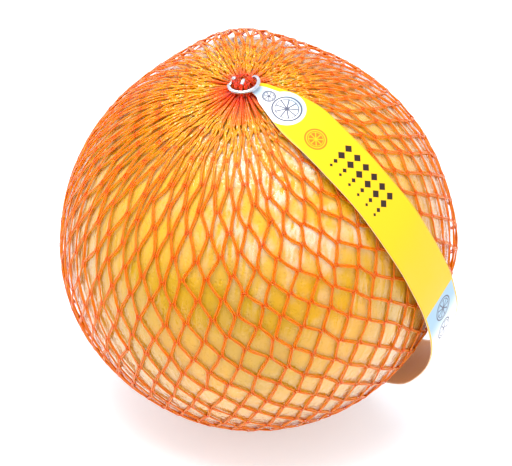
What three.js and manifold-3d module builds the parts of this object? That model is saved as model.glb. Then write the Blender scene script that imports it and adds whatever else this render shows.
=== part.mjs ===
// A pomelo as it is sold: the fruit in a thin clear film, inside a knitted net bag that a bent wire clip
// gathers at each end, with a printed plastic band that runs over the side from one clip to the other.
// Millimetres, Z up. The origin lies on the table, straight below the middle of the fruit.

import * as THREE from "three";
import Module from "manifold-3d";

// Fruit: nearly round, with a low neck at the stem end and a flatter blossom end
const FRUIT_RADIUS = 72.3;
const CENTRE_HEIGHT = 73.6;
const NECK_RISE = 4.4;
const NECK_SPREAD = 15;
const STEM_DIMPLE = 1.4;
const STEM_DIMPLE_SPREAD = 4.5;
const BLOSSOM_FLATTENING = 0.9;
const BLOSSOM_SPREAD = 30;
const SWELLING = { height: 0.7, sideways: 2.6, sidewaysStart: -1.1, upwards: 2.2, backwards: -1.9 };

// Leans in degrees from the upright: backwards, then to the right
const STEM_LEAN = [13.9, -5.7];
const TOP_GATHER_LEAN = [-18.6, -3.9];
const BOTTOM_GATHER_LEAN = [31.0, 4.0];

// Layers over the peel: height above it, lowest level over the table, share of the stem's dimple that
// they follow, and how much higher a stretched layer stands round the neck
const PEEL = { height: 0, floor: 2.6, dimple: 1, stretch: 0 };
const FILM_INSIDE = { height: 0.35, floor: 2.3, dimple: 0, stretch: 0 };
const FILM_OUTSIDE = { height: 0.95, floor: 1.7, dimple: 0, stretch: 0 };
const NET_INSIDE = { height: 1.8, floor: 1.0, dimple: 0, stretch: 1.0 };
const NET_OUTSIDE = { height: 2.8, floor: 0, dimple: 0, stretch: 1.0 };
const STRETCH_SPREAD = 22;

// Grid of the smooth pieces, in degrees from the stem
const SMOOTH_SEGMENTS = 32;
const SMOOTH_RINGS = [7, 15, 24, 34, 44, 54, 64, 74, 84, 94, 104, 114, 124, 134, 144, 154, 164, 174];

// Net bag: columns of knots round it, strands that keep one length while the mesh opens and closes
const NET_COLUMNS = 25;
const STRAND_LENGTH = 14.4;
const STRAND_WIDTH = 2.4;
const CLOSED_CELL_SHARE = 0.4;
const NET_BEND_START = 60;
const NET_ENDS = [12, 173];
const NET_WAVE = { degrees: 1.1, round: 3, down: 5 };
const CONTACT_PASSES = 20;

// Gathered ends of the net, from the last knots inwards and up: radius from the gather's axis, height
// above the peel, depth of the pleats. The skirt lies on the fruit, and the tuft is the cut end.
const SKIRT = [
  [9.0, 3.4, 0.35],
  [6.4, 4.0, 0.45],
  [4.6, 5.1, 0.3],
  [3.5, 6.3, 0.2],
];
const TOP_TUFT = [
  [4.6, 8.1, 0.4],
  [4.4, 9.2, 0.5],
  [2.5, 9.9, 0.3],
];
const BOTTOM_TUFT = [
  [4.4, 7.5, 0.4],
  [4.0, 8.5, 0.5],
  [2.3, 9.0, 0.3],
];

// Wire clips: a bow that closes round the gather, with its two ends curled into the bunch
const WIRE_DIAMETER = 1.7;
const WIRE_SIDES = 8;
const WIRE_STEPS = 26;
const CLIP_HEIGHT = 5.5;
const PIECE_GAP = 0.3;
const CHANNEL_GAP = 0.5;
const CLIP_BOW = [
  [-2.0, 0.3],
  [-2.3, 1.9],
  [-3.6, 2.8],
  [-4.8, 1.7],
  [-5.0, -0.6],
  [-3.6, -3.2],
  [0.0, -4.3],
  [3.6, -3.2],
  [5.0, -0.6],
  [4.9, 1.4],
  [3.8, 3.0],
  [2.0, 3.2],
  [0.9, 1.9],
  [0.7, 0.2],
];

// Band: degrees from the top gather, degrees round it, height of its inner face above the net
const BAND_WIDTH = 21;
const BAND_TIP_WIDTH = 2.6;
const BAND_TAPER_LENGTH = 27;
const BAND_THICKNESS = 0.6;
const BAND_STEPS = 58;
const BAND_CHANNEL_LENGTH = 16;
const BAND_CHANNEL_STEPS = 6;
const BAND_CHANNEL_ABOVE = 1.6;
const BAND_REST_GAP = 0.4;
const BAND_ROUTE = [
  [4.0, -12, 0.5],
  [12, -26, 0.2],
  [24, -33.5, 0.2],
  [41, -35.5, 0.2],
  [60, -34.5, 0.2],
  [78, -31.8, 0.4],
  [91, -29.5, 1.7],
  [103, -27.5, 4.4],
  [114, -26.5, 6.0],
  [125, -24, 5.6],
  [136, -17, 4.4],
  [147, -4, 2.4],
  [156, 20, 1.0],
];
const BAND_END_RADIUS = 5.2;
const BAND_END_RISE = 0.5;

const wasm = await Module();
wasm.setup();

const degrees = THREE.MathUtils.degToRad;
const centre = new THREE.Vector3(0, 0, CENTRE_HEIGHT);
const stemAxis = leaning(STEM_LEAN, 1);
const topAxis = leaning(TOP_GATHER_LEAN, 1);
const bottomAxis = leaning(BOTTOM_GATHER_LEAN, -1);
const netFrame = frameAbout(topAxis);
const netBend = new THREE.Quaternion();
const netBendAxis = topAxis.clone().negate().cross(bottomAxis).normalize();
const netBendAngle = topAxis.clone().negate().angleTo(bottomAxis);

// A unit vector that leans backwards and to the right of the upright, pointing up for 1 or down for -1
function leaning([back, right], upward) {
  return new THREE.Vector3(Math.tan(degrees(right)), Math.tan(degrees(back)), upward).normalize();
}

// An axis with two directions across it, the first one as near to +X as it can be
function frameAbout(axis) {
  const across = new THREE.Vector3(1, 0, 0).addScaledVector(axis, -axis.x).normalize();
  return { axis, across, along: new THREE.Vector3().crossVectors(axis, across) };
}

// The direction at a polar angle from a frame's axis and an angle round it, both in radians
function directionIn(frame, polar, round) {
  return frame.axis
    .clone()
    .multiplyScalar(Math.cos(polar))
    .addScaledVector(frame.across, Math.sin(polar) * Math.cos(round))
    .addScaledVector(frame.along, Math.sin(polar) * Math.sin(round));
}

// Distance from the fruit's centre to a layer in a direction: a ball, plus the neck round the stem,
// less the dimple in it and the flatter blossom end, plus a slow uneven swelling
function layerRadius(direction, { height, dimple, stretch }) {
  const fromStem = THREE.MathUtils.radToDeg(direction.angleTo(stemAxis));
  const bell = (angle, spread) => Math.exp(-((angle / spread) ** 2));
  const neck = NECK_RISE * bell(fromStem, NECK_SPREAD) + stretch * bell(fromStem, STRETCH_SPREAD);
  const hollow = dimple * STEM_DIMPLE * bell(fromStem, STEM_DIMPLE_SPREAD);
  const blossom = BLOSSOM_FLATTENING * bell(180 - fromStem, BLOSSOM_SPREAD);
  const sideways = Math.sin(SWELLING.sideways * direction.x + SWELLING.sidewaysStart);
  const lengthways = Math.sin(SWELLING.upwards * direction.z + SWELLING.backwards * direction.y);
  const swelling = SWELLING.height * sideways * lengthways;
  return FRUIT_RADIUS + height + neck - hollow - blossom + swelling;
}

// The point of a layer in a direction: out from the centre, and flattened where it meets the table
function layerPoint(direction, layer) {
  const point = direction.clone().multiplyScalar(layerRadius(direction, layer)).add(centre);
  point.z = Math.max(point.z, layer.floor);
  return point;
}

// A point at a height above the peel over the net's outline, clear of the table's level
function netPoint(direction, height) {
  return layerPoint(direction, { ...NET_OUTSIDE, height });
}

// Mesh data that faces are added to, turned into a geometry or a solid
class Facets {
  constructor() {
    this.positions = [];
    this.index = [];
  }

  vertex(point) {
    this.positions.push(point.x, point.y, point.z);
    return this.positions.length / 3 - 1;
  }

  triangle(a, b, c) {
    this.index.push(a, b, c);
  }

  quad(a, b, c, d) {
    this.triangle(a, b, c);
    this.triangle(a, c, d);
  }

  // A strip of quads between two closed rings of vertices. Turned over, it keeps the same diagonals.
  strip(lower, upper, turned = false) {
    lower.forEach((first, k) => {
      const next = (k + 1) % lower.length;
      if (turned) {
        this.quad(first, upper[k], upper[next], lower[next]);
      } else {
        this.quad(first, lower[next], upper[next], upper[k]);
      }
    });
  }

  // Strips between each ring of a list and the one after it
  strips(rings, turned = false) {
    rings.slice(1).forEach((ring, k) => this.strip(rings[k], ring, turned));
  }

  // A fan from a ring of vertices to one point
  fan(ring, tip, turned = false) {
    ring.forEach((first, k) => {
      const next = ring[(k + 1) % ring.length];
      this.triangle(...(turned ? [next, first] : [first, next]), tip);
    });
  }

  geometry() {
    const made = new THREE.BufferGeometry();
    made.setAttribute("position", new THREE.Float32BufferAttribute(this.positions, 3));
    made.setIndex(this.index);
    made.computeVertexNormals();
    return made;
  }

  solid() {
    return solidOf(this.geometry());
  }
}

function solidOf(geometry) {
  return new wasm.Manifold(
    new wasm.Mesh({
      numProp: 3,
      vertProperties: new Float32Array(geometry.attributes.position.array),
      triVerts: new Uint32Array(geometry.index.array),
    }),
  );
}

function geometryOf(solid) {
  const mesh = solid.getMesh();
  const made = new THREE.BufferGeometry();
  made.setAttribute("position", new THREE.BufferAttribute(new Float32Array(mesh.vertProperties), 3));
  made.setIndex(new THREE.BufferAttribute(new Uint32Array(mesh.triVerts), 1));
  made.computeVertexNormals();
  return made;
}

// Rings of one layer round the stem axis, from the stem to the blossom end
function smoothRings(facets, layer) {
  const frame = frameAbout(stemAxis);
  return SMOOTH_RINGS.map((polar) =>
    Array.from({ length: SMOOTH_SEGMENTS }, (_, k) => {
      const round = (-2 * Math.PI * k) / SMOOTH_SEGMENTS;
      return facets.vertex(layerPoint(directionIn(frame, degrees(polar), round), layer));
    }),
  );
}

function fruitGeometry() {
  const facets = new Facets();
  const rings = smoothRings(facets, PEEL);
  facets.strips(rings);
  facets.fan(rings[0], facets.vertex(layerPoint(stemAxis, PEEL)), true);
  facets.fan(rings.at(-1), facets.vertex(layerPoint(stemAxis.clone().negate(), PEEL)));
  return facets.geometry();
}

// The film is a skin with an outside and an inside, left open where its shrunk end closes under the fruit
function filmGeometry() {
  const facets = new Facets();
  const outside = smoothRings(facets, FILM_OUTSIDE);
  const inside = smoothRings(facets, FILM_INSIDE);
  facets.strips(outside);
  facets.strips(inside, true);
  facets.fan(outside[0], facets.vertex(layerPoint(stemAxis, FILM_OUTSIDE)), true);
  facets.fan(inside[0], facets.vertex(layerPoint(stemAxis, FILM_INSIDE)));
  facets.strip(outside.at(-1), inside.at(-1));
  return facets.geometry();
}

// The net's direction at a polar angle and an angle round, in radians. Its lower part is bent back,
// so that the seam of the bag ends at the bottom gather.
function netDirection(polar, round) {
  const share = THREE.MathUtils.smoothstep(polar, degrees(NET_BEND_START), Math.PI);
  netBend.setFromAxisAngle(netBendAxis, netBendAngle * share);
  return directionIn(netFrame, polar, round).applyQuaternion(netBend);
}

// Where on the net the table touches it, as a polar angle and an angle round
function netContact() {
  const down = new THREE.Vector3(0, 0, -1);
  let polar = topAxis.angleTo(down);
  let unbent = down;
  for (let pass = 0; pass < CONTACT_PASSES; pass += 1) {
    const share = THREE.MathUtils.smoothstep(polar, degrees(NET_BEND_START), Math.PI);
    netBend.setFromAxisAngle(netBendAxis, -netBendAngle * share);
    unbent = down.clone().applyQuaternion(netBend);
    polar = unbent.angleTo(netFrame.axis);
  }
  return { polar, round: Math.atan2(unbent.dot(netFrame.along), unbent.dot(netFrame.across)) };
}

// Half the width and half the height of a mesh cell at a polar angle, for strands of one length
function cellHalves(polar) {
  const halfWidth = (Math.PI * FRUIT_RADIUS * Math.sin(polar)) / NET_COLUMNS;
  return { halfWidth, halfHeight: Math.sqrt(STRAND_LENGTH ** 2 - halfWidth ** 2) };
}

// Polar angles of the rows of knots, with one row through the point that touches the table
function netRows(contactPolar) {
  const rows = [contactPolar];
  const step = (polar) => cellHalves(polar).halfHeight / FRUIT_RADIUS;
  while (rows[0] - step(rows[0]) > degrees(NET_ENDS[0])) {
    rows.unshift(rows[0] - step(rows[0]));
  }
  while (rows.at(-1) + step(rows.at(-1)) < degrees(NET_ENDS[1])) {
    rows.push(rows.at(-1) + step(rows.at(-1)));
  }
  return rows;
}

// The four corners of a knot on the outside and the inside of the net: top, right, bottom, left
function knotCorners(facets, polar, round) {
  const { halfWidth, halfHeight } = cellHalves(polar);
  const halfStrand = (STRAND_WIDTH / 2) * STRAND_LENGTH;
  const reachUp = Math.min(halfStrand / halfWidth, CLOSED_CELL_SHARE * halfHeight);
  const reachSide = Math.min(halfStrand / halfHeight, CLOSED_CELL_SHARE * halfWidth);
  const up = reachUp / FRUIT_RADIUS;
  const side = reachSide / (FRUIT_RADIUS * Math.sin(polar));
  const directions = [
    netDirection(polar - up, round),
    netDirection(polar, round + side),
    netDirection(polar + up, round),
    netDirection(polar, round - side),
  ];
  return {
    outside: directions.map((direction) => facets.vertex(layerPoint(direction, NET_OUTSIDE))),
    inside: directions.map((direction) => facets.vertex(layerPoint(direction, NET_INSIDE))),
    rounds: [round - side, round + side],
  };
}

// A gathered end of the net, added on to the ring of corners that its last knots leave: a skirt that
// closes in to a neck, and the tuft above it. The underside is one disc that lies on the fruit.
function addGather(facets, rim, tuft, atTop) {
  const polarAt = (radius) => (atTop ? radius / FRUIT_RADIUS : Math.PI - radius / FRUIT_RADIUS);
  const ringOf = ([radius, height, pleat]) =>
    rim.rounds.map((round, k) => {
      const side = k % 2 ? 1 : -1;
      const flare = tuft.some(([, level]) => level === height) ? pleat * side : 0;
      const ripple = flare ? 0 : pleat * side;
      return facets.vertex(netPoint(netDirection(polarAt(radius + flare), round), height + ripple));
    });
  const axis = atTop ? topAxis : bottomAxis;
  const rings = [rim.outside, ...[...SKIRT, ...tuft].map(ringOf)];
  facets.strips(rings, !atTop);
  facets.fan(rings.at(-1), facets.vertex(netPoint(axis, tuft.at(-1)[1])), !atTop);
  facets.fan(rim.inside, facets.vertex(layerPoint(axis, NET_INSIDE)), atTop);
}

// The corners that an end row leaves towards its gather, left and right of each knot in turn
function rimOf(rowKnots) {
  const corners = (face) => rowKnots.flatMap((knot) => [knot[face][3], knot[face][1]]);
  const rounds = rowKnots.flatMap((knot) => knot.rounds);
  return { outside: corners("outside"), inside: corners("inside"), rounds };
}

// The knitted net as one body: a lozenge for each knot, from it two strands to the next row, and at
// each end a half lozenge that runs on into the gather
function netSolid() {
  const facets = new Facets();
  const contact = netContact();
  const rows = netRows(contact.polar);
  const contactRow = rows.indexOf(contact.polar);
  const pitch = (2 * Math.PI) / NET_COLUMNS;
  const knots = rows.map((polar, row) =>
    Array.from({ length: NET_COLUMNS }, (_, column) => {
      const round = contact.round + (column + (row - contactRow) / 2) * pitch;
      const wave = Math.sin(NET_WAVE.round * round + NET_WAVE.down * polar);
      const shift = row === contactRow ? 0 : degrees(NET_WAVE.degrees) * wave;
      return knotCorners(facets, polar, round + shift);
    }),
  );
  const [top, right, bottom, left] = [0, 1, 2, 3];
  const wall = (a, m, b, n) => facets.quad(b.outside[n], a.outside[m], a.inside[m], b.inside[n]);
  const half = (knot, a, b, c) => {
    facets.triangle(knot.outside[c], knot.outside[b], knot.outside[a]);
    facets.triangle(knot.inside[a], knot.inside[b], knot.inside[c]);
  };
  const slab = (corners) => {
    const [a, b, c, d] = corners;
    facets.quad(...[d, c, b, a].map(([knot, corner]) => knot.outside[corner]));
    facets.quad(...[b, c, d, a].map(([knot, corner]) => knot.inside[corner]));
  };
  knots.forEach((rowKnots, row) => {
    rowKnots.forEach((knot, column) => {
      const beside = rowKnots[(column + 1) % NET_COLUMNS];
      if (row === 0) {
        half(knot, right, bottom, left);
        wall(knot, right, beside, left);
      } else if (row === rows.length - 1) {
        half(knot, left, top, right);
        wall(beside, left, knot, right);
        return;
      } else {
        slab([top, right, bottom, left].map((corner) => [knot, corner]));
      }
      const nextRow = knots[row + 1];
      const rightKnot = nextRow[column];
      const leftKnot = nextRow[(column + NET_COLUMNS - 1) % NET_COLUMNS];
      slab([[knot, right], [rightKnot, top], [rightKnot, left], [knot, bottom]]);
      wall(knot, bottom, rightKnot, left);
      wall(rightKnot, top, knot, right);
      slab([[knot, bottom], [leftKnot, right], [leftKnot, top], [knot, left]]);
      wall(knot, left, leftKnot, top);
      wall(leftKnot, right, knot, bottom);
    });
  });
  addGather(facets, rimOf(knots[0]), TOP_TUFT, true);
  addGather(facets, rimOf(knots.at(-1)), BOTTOM_TUFT, false);
  return facets.solid();
}

// A clip's wire as a tube along its bow, in the plane across the gather. Grown by a gap all round and
// at both ends, it is the room that the wire needs inside the net.
function clipGeometry(axis, gap) {
  const frame = frameAbout(axis);
  const middle = netPoint(axis, CLIP_HEIGHT);
  const points = CLIP_BOW.map(([across, along]) =>
    middle.clone().addScaledVector(frame.across, across).addScaledVector(frame.along, along),
  );
  const lengthen = (end, before) => end.addScaledVector(end.clone().sub(before).normalize(), gap);
  lengthen(points.at(0), points.at(1));
  lengthen(points.at(-1), points.at(-2));
  const radius = WIRE_DIAMETER / 2 + gap;
  const section = new THREE.Shape(
    Array.from({ length: WIRE_SIDES }, (_, k) => {
      const turn = (2 * Math.PI * k) / WIRE_SIDES;
      return new THREE.Vector2(Math.cos(turn), Math.sin(turn)).multiplyScalar(radius);
    }),
  );
  const path = new THREE.CatmullRomCurve3(points, false, "centripetal");
  const tube = new THREE.ExtrudeGeometry(section, { steps: WIRE_STEPS, extrudePath: path });
  tube.deleteAttribute("normal");
  tube.deleteAttribute("uv");
  return mergeCoincident(tube);
}

// The same triangles with each place held once, so that the surface is closed
function mergeCoincident(geometry) {
  const facets = new Facets();
  const known = new Map();
  const position = geometry.attributes.position;
  const indexOf = (k) => {
    const point = new THREE.Vector3().fromBufferAttribute(position, k);
    const key = point.toArray().map((value) => value.toFixed(3)).join();
    if (!known.has(key)) {
      known.set(key, facets.vertex(point));
    }
    return known.get(key);
  };
  for (let k = 0; k < position.count; k += 3) {
    facets.triangle(indexOf(k), indexOf(k + 1), indexOf(k + 2));
  }
  return facets.geometry();
}

// The line that the middle of the band's inner face follows, from one clip to the other
function bandRoute() {
  const level = NET_OUTSIDE.height + BAND_REST_GAP;
  const points = BAND_ROUTE.map(([polar, round, rise]) =>
    netPoint(directionIn(netFrame, degrees(polar), degrees(round)), level + rise),
  );
  const last = points.at(-1).clone().sub(centre).normalize();
  const inward = last.sub(bottomAxis).normalize();
  const end = netPoint(bottomAxis, level + BAND_END_RISE);
  points.push(end.addScaledVector(inward, BAND_END_RADIUS));
  return new THREE.CatmullRomCurve3(points, false, "centripetal");
}

// Half the band's width at a distance from its nearer end: a cut point that widens in a quarter wave
function bandHalfWidth(fromEnd) {
  const share = Math.min(fromEnd / BAND_TAPER_LENGTH, 1);
  return (BAND_TIP_WIDTH + (BAND_WIDTH - BAND_TIP_WIDTH) * Math.sin((Math.PI / 2) * share)) / 2;
}

// The band between two distances along its route, grown at its ends and sides, below and above
function bandFacets(route, from, to, steps, { around, above }) {
  const facets = new Facets();
  const length = route.getLength();
  const sections = Array.from({ length: steps + 1 }, (_, k) => {
    const distance = from + ((to - from) * k) / steps;
    const middle = route.getPointAt(distance / length);
    const outward = middle.clone().sub(centre).normalize();
    const tangent = route.getTangentAt(distance / length);
    const across = new THREE.Vector3().crossVectors(outward, tangent).normalize();
    const half = bandHalfWidth(Math.min(distance, length - distance)) + around;
    middle.addScaledVector(tangent, around * ((k === steps) - (k === 0)));
    const corner = (side, rise) =>
      facets.vertex(middle.clone().addScaledVector(across, side * half).addScaledVector(outward, rise));
    const upper = BAND_THICKNESS + above;
    return [corner(-1, -around), corner(1, -around), corner(1, upper), corner(-1, upper)];
  });
  sections.slice(1).forEach((section, k) => facets.strip(sections[k], section));
  facets.quad(...[...sections[0]].reverse());
  facets.quad(...sections.at(-1));
  return facets;
}

// The room that the two tips of the band need inside the gathers
function bandChannels(route) {
  const grown = { around: PIECE_GAP, above: BAND_CHANNEL_ABOVE };
  const length = route.getLength();
  return [
    [0, BAND_CHANNEL_LENGTH],
    [length - BAND_CHANNEL_LENGTH, length],
  ].map(([from, to]) => bandFacets(route, from, to, BAND_CHANNEL_STEPS, grown).solid());
}

function bandGeometry(route) {
  return bandFacets(route, 0, route.getLength(), BAND_STEPS, { around: 0, above: 0 }).geometry();
}

// The whole net bag, with room left in its gathers for the clips and the tips of the band
function netBagGeometry(route) {
  let bag = netSolid();
  const channels = [topAxis, bottomAxis].map((axis) => solidOf(clipGeometry(axis, CHANNEL_GAP)));
  [...channels, ...bandChannels(route)].forEach((channel) => {
    bag = bag.subtract(channel);
  });
  const [largest] = bag.decompose().sort((a, b) => b.volume() - a.volume());
  return geometryOf(largest);
}

function finish(color, roughness, metalness, opacity = 1) {
  return new THREE.MeshStandardMaterial({ color, roughness, metalness, opacity, transparent: opacity < 1 });
}

const bandLine = bandRoute();
const pieces = [
  ["pomelo_fruit", fruitGeometry(), finish(0xeac64f, 0.45, 0)],
  ["film_wrap", filmGeometry(), finish(0xfff6dc, 0.1, 0, 0.2)],
  ["net_bag", netBagGeometry(bandLine), finish(0xff6f1e, 0.4, 0)],
  ["label_band", bandGeometry(bandLine), finish(0xfde628, 0.35, 0)],
  ["top_clip", clipGeometry(topAxis, 0), finish(0xc9cdd2, 0.28, 1)],
  ["bottom_clip", clipGeometry(bottomAxis, 0), finish(0xc9cdd2, 0.28, 1)],
];

const pomelo = new THREE.Group();
pieces.forEach(([name, geometry, material]) => {
  const piece = new THREE.Mesh(geometry, material);
  piece.name = name;
  pomelo.add(piece);
});

export default pomelo;
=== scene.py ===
"""A pomelo in a clear film and an orange net bag, with its wire clips and its printed band.

Lengths in the classes are millimetres and angles are degrees, unless a name says otherwise. The mesh
maker turns them into metres. The origin lies on the table below the middle of the fruit, Z is up, and
the side with the upper clip and the band faces -Y.
"""

import logging
import math
from dataclasses import dataclass, field
from enum import Enum

import bpy
import numpy as np
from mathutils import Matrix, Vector


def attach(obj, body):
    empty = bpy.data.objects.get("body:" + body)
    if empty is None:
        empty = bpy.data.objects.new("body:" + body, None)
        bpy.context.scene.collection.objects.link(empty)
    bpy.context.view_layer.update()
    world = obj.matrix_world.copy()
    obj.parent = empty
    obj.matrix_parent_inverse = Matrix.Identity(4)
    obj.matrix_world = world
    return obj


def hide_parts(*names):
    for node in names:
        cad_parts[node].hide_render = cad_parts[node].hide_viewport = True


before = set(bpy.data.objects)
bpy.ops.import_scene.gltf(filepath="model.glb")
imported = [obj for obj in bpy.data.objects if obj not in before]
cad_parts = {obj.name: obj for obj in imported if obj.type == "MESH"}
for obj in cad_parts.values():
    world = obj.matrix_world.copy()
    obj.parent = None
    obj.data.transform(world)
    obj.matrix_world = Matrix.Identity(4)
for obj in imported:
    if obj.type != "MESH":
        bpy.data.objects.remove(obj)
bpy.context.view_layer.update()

MM = 0.001
BODY = "root"
TAU = 2 * math.pi
log = logging.getLogger("pomelo")


def unit(vectors: np.ndarray) -> np.ndarray:
    """The vectors at length one."""
    return vectors / np.linalg.norm(vectors, axis=-1, keepdims=True)


def bell(angle: np.ndarray, spread: float) -> np.ndarray:
    """A bell curve: one at zero, and 1/e at the spread."""
    return np.exp(-((angle / spread) ** 2))


def degrees_from(direction: np.ndarray, towards: np.ndarray | tuple) -> np.ndarray:
    """Degrees between unit vectors and one direction, which may have any length."""
    return np.degrees(np.arccos(np.clip(direction @ unit(np.array(towards)), -1, 1)))


def smoothstep(low: float, high: float, value: np.ndarray) -> np.ndarray:
    """Zero below low, one above high, and 3s^2 - 2s^3 of the share s between them."""
    share = np.clip((value - low) / (high - low), 0.0, 1.0)
    return share * share * (3 - 2 * share)


def linear(red: float, green: float, blue: float) -> tuple[float, float, float, float]:
    """A colour as seen on a screen, 0 to 255, as the linear colour that shaders take."""
    shares = np.array([red, green, blue]) / 255.0
    low, high = shares / 12.92, ((shares + 0.055) / 1.055) ** 2.4
    return (*np.where(shares <= 0.04045, low, high).tolist(), 1.0)


def leaning(back: float, right: float, upward: int) -> np.ndarray:
    """A unit vector that leans from the upright.

    Args:
        back: Degrees away from the viewer.
        right: Degrees to the right.
        upward: 1 to point up and -1 to point down.
    Returns:
        The direction, (tan right, tan back, upward) at length one.
    """
    return unit(np.array([math.tan(math.radians(right)), math.tan(math.radians(back)), upward]))


def smooth_line(points: np.ndarray, count: int) -> np.ndarray:
    """Even points on the centripetal Catmull-Rom curve through some points.

    Each stretch is a cubic whose end slopes come from the knots' spacing, the square root of their
    distances, and the ends are carried on straight.

    Args:
        points: The points that the curve passes, (n, 3).
        count: How many points to return, evenly along the curve's length.
    Returns:
        The points on the curve, (count, 3).
    """
    dense = 40
    padded = np.vstack([2 * points[0] - points[1], points, 2 * points[-1] - points[-2]])
    p0, p1, p2, p3 = (padded[k : len(padded) - 3 + k] for k in range(4))
    pairs = ((p0, p1), (p1, p2), (p2, p3))
    d0, d1, d2 = (np.sqrt(np.linalg.norm(after - before, axis=1))[:, None] for before, after in pairs)
    start = d1 * ((p1 - p0) / d0 - (p2 - p0) / (d0 + d1) + (p2 - p1) / d1)
    end = d1 * ((p2 - p1) / d1 - (p3 - p1) / (d1 + d2) + (p3 - p2) / d2)
    share = (np.arange(dense) / dense)[None, :, None]
    square, cube = share**2, share**3
    p1, p2, start, end = (part[:, None, :] for part in (p1, p2, start, end))
    curve = p1 + start * share + (3 * (p2 - p1) - 2 * start - end) * square
    curve = curve + (2 * (p1 - p2) + start + end) * cube
    curve = np.vstack([curve.reshape(-1, 3), points[-1]])
    along = np.concatenate([[0], np.cumsum(np.linalg.norm(np.diff(curve, axis=0), axis=1))])
    return spread_over(along, curve, np.linspace(0, along[-1], count))


def spread_over(known: np.ndarray, values: np.ndarray, wanted: np.ndarray) -> np.ndarray:
    """Vectors read off at wanted places from vectors at known places, straight between them."""
    return np.stack([np.interp(wanted, known, column) for column in values.T], axis=-1)


@dataclass(frozen=True)
class Unevenness:
    """A soft random field: the sum of sine waves that run in seeded directions.

    The sum is divided by its usual size, the root of half the number of waves, and by a peak that
    few points pass.
    """

    wavelength: float
    seed: int
    waves: int = 24
    range_of_lengths: float = 0.5
    peak: float = 1.5

    def at(self, points: np.ndarray) -> np.ndarray:
        """The field's value at each point, mostly within -1 to 1."""
        draw = np.random.default_rng(self.seed)
        heading = unit(draw.normal(size=(self.waves, 3)))
        lengths = self.wavelength * (1 + self.range_of_lengths * draw.uniform(-1, 1, self.waves))
        phase = draw.uniform(0, TAU, self.waves)
        turns = points @ (heading / lengths[:, None]).T
        return np.sin(TAU * turns + phase).sum(-1) * math.sqrt(2 / self.waves) / self.peak


class MeshMaker:
    """Collects grids of points and their faces, and turns them into one Blender mesh."""

    def __init__(self) -> None:
        """Starts with nothing in it."""
        self.points: list[np.ndarray] = []
        self.faces: list[np.ndarray] = []
        self.values: dict[str, list[np.ndarray]] = {}
        self.count = 0

    def _add(self, points: np.ndarray, values: dict[str, np.ndarray]) -> np.ndarray:
        """Adds points with their values, and returns the points' numbers in the same layout."""
        numbers = self.count + np.arange(points[..., 0].size).reshape(points.shape[:-1])
        self.points.append(points.reshape(-1, 3))
        for name, value in values.items():
            width = value.shape[-1] if value.ndim == points.ndim else 1
            shape = (*points.shape[:-1], width) if width > 1 else points.shape[:-1]
            self.values.setdefault(name, []).append(np.broadcast_to(value, shape).reshape(-1, width))
        self.count += numbers.size
        return numbers

    def _quads(self, numbers: np.ndarray, wrap: bool) -> None:
        """Adds the quads of grids: the last two axes run along and round, and round may close."""
        beyond = np.roll(numbers, -1, axis=-1) if wrap else numbers[..., 1:]
        here = numbers if wrap else numbers[..., :-1]
        corners = (here[..., :-1, :], here[..., 1:, :], beyond[..., 1:, :], beyond[..., :-1, :])
        self.faces.append(np.stack(corners, axis=-1).reshape(-1, 4))

    def sheet(self, points: np.ndarray) -> None:
        """Adds an open sheet of (along, across, 3) points."""
        self._quads(self._add(points, {}), wrap=False)

    def closed_rings(self, points: np.ndarray, **values: np.ndarray) -> None:
        """Adds (..., rings, round, 3) points as tubes whose two ends are closed by a face each."""
        numbers = self._add(points, values)
        self._quads(numbers, wrap=True)
        width = numbers.shape[-1]
        self.faces.append(numbers[..., 0, :].reshape(-1, width))
        self.faces.append(numbers[..., -1, ::-1].reshape(-1, width))

    def globe(
        self, points: np.ndarray, first: np.ndarray | None, last: np.ndarray | None, **values: np.ndarray
    ) -> None:
        """Adds rings of (rings, round, 3) points, closed at either end by a fan to a tip if given."""
        numbers = self._add(points, values)
        self._quads(numbers, wrap=True)
        for ring, tip, turned in ((numbers[0], first, False), (numbers[-1], last, True)):
            if tip is None:
                continue
            top = self._add(tip[None], {name: value[:1, 0] * 0 for name, value in values.items()})
            pair = (np.roll(ring, -1), ring)
            around = pair[::-1] if turned else pair
            self.faces.append(np.stack([np.broadcast_to(top, ring.shape), *around], axis=-1))

    def finish(self, name: str) -> bpy.types.Object:
        """Makes the object in metres, smooth shaded, with its values as attributes.

        Args:
            name: The object's and the mesh's name.
        Returns:
            The object, linked into the scene at the origin.
        """
        mesh = bpy.data.meshes.new(name)
        points = np.concatenate(self.points).astype(np.float32) * MM
        sizes = np.concatenate([np.full(len(part), part.shape[1]) for part in self.faces])
        corners = np.concatenate([part.reshape(-1) for part in self.faces]).astype(np.int32)
        mesh.vertices.add(len(points))
        mesh.vertices.foreach_set("co", points.reshape(-1))
        mesh.loops.add(len(corners))
        mesh.loops.foreach_set("vertex_index", corners)
        mesh.polygons.add(len(sizes))
        mesh.polygons.foreach_set("loop_start", np.concatenate([[0], np.cumsum(sizes)[:-1]]).astype(np.int32))
        mesh.update(calc_edges=True)
        mesh.shade_smooth()
        for key, parts in self.values.items():
            self._store(mesh, key, np.concatenate(parts).astype(np.float32), corners)
        piece = bpy.data.objects.new(name, mesh)
        bpy.context.scene.collection.objects.link(piece)
        log.info("%s: %d faces", name, len(sizes))
        return piece

    @staticmethod
    def _store(mesh: bpy.types.Mesh, name: str, values: np.ndarray, corners: np.ndarray) -> None:
        """Stores two numbers a point as a UV map, and one number as an attribute."""
        if values.shape[1] == 2:
            layer = mesh.uv_layers.new(name=name)
            layer.data.foreach_set("uv", values[corners].reshape(-1))
        else:
            attribute = mesh.attributes.new(name, "FLOAT", "POINT")
            attribute.data.foreach_set("value", values.reshape(-1))


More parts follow.
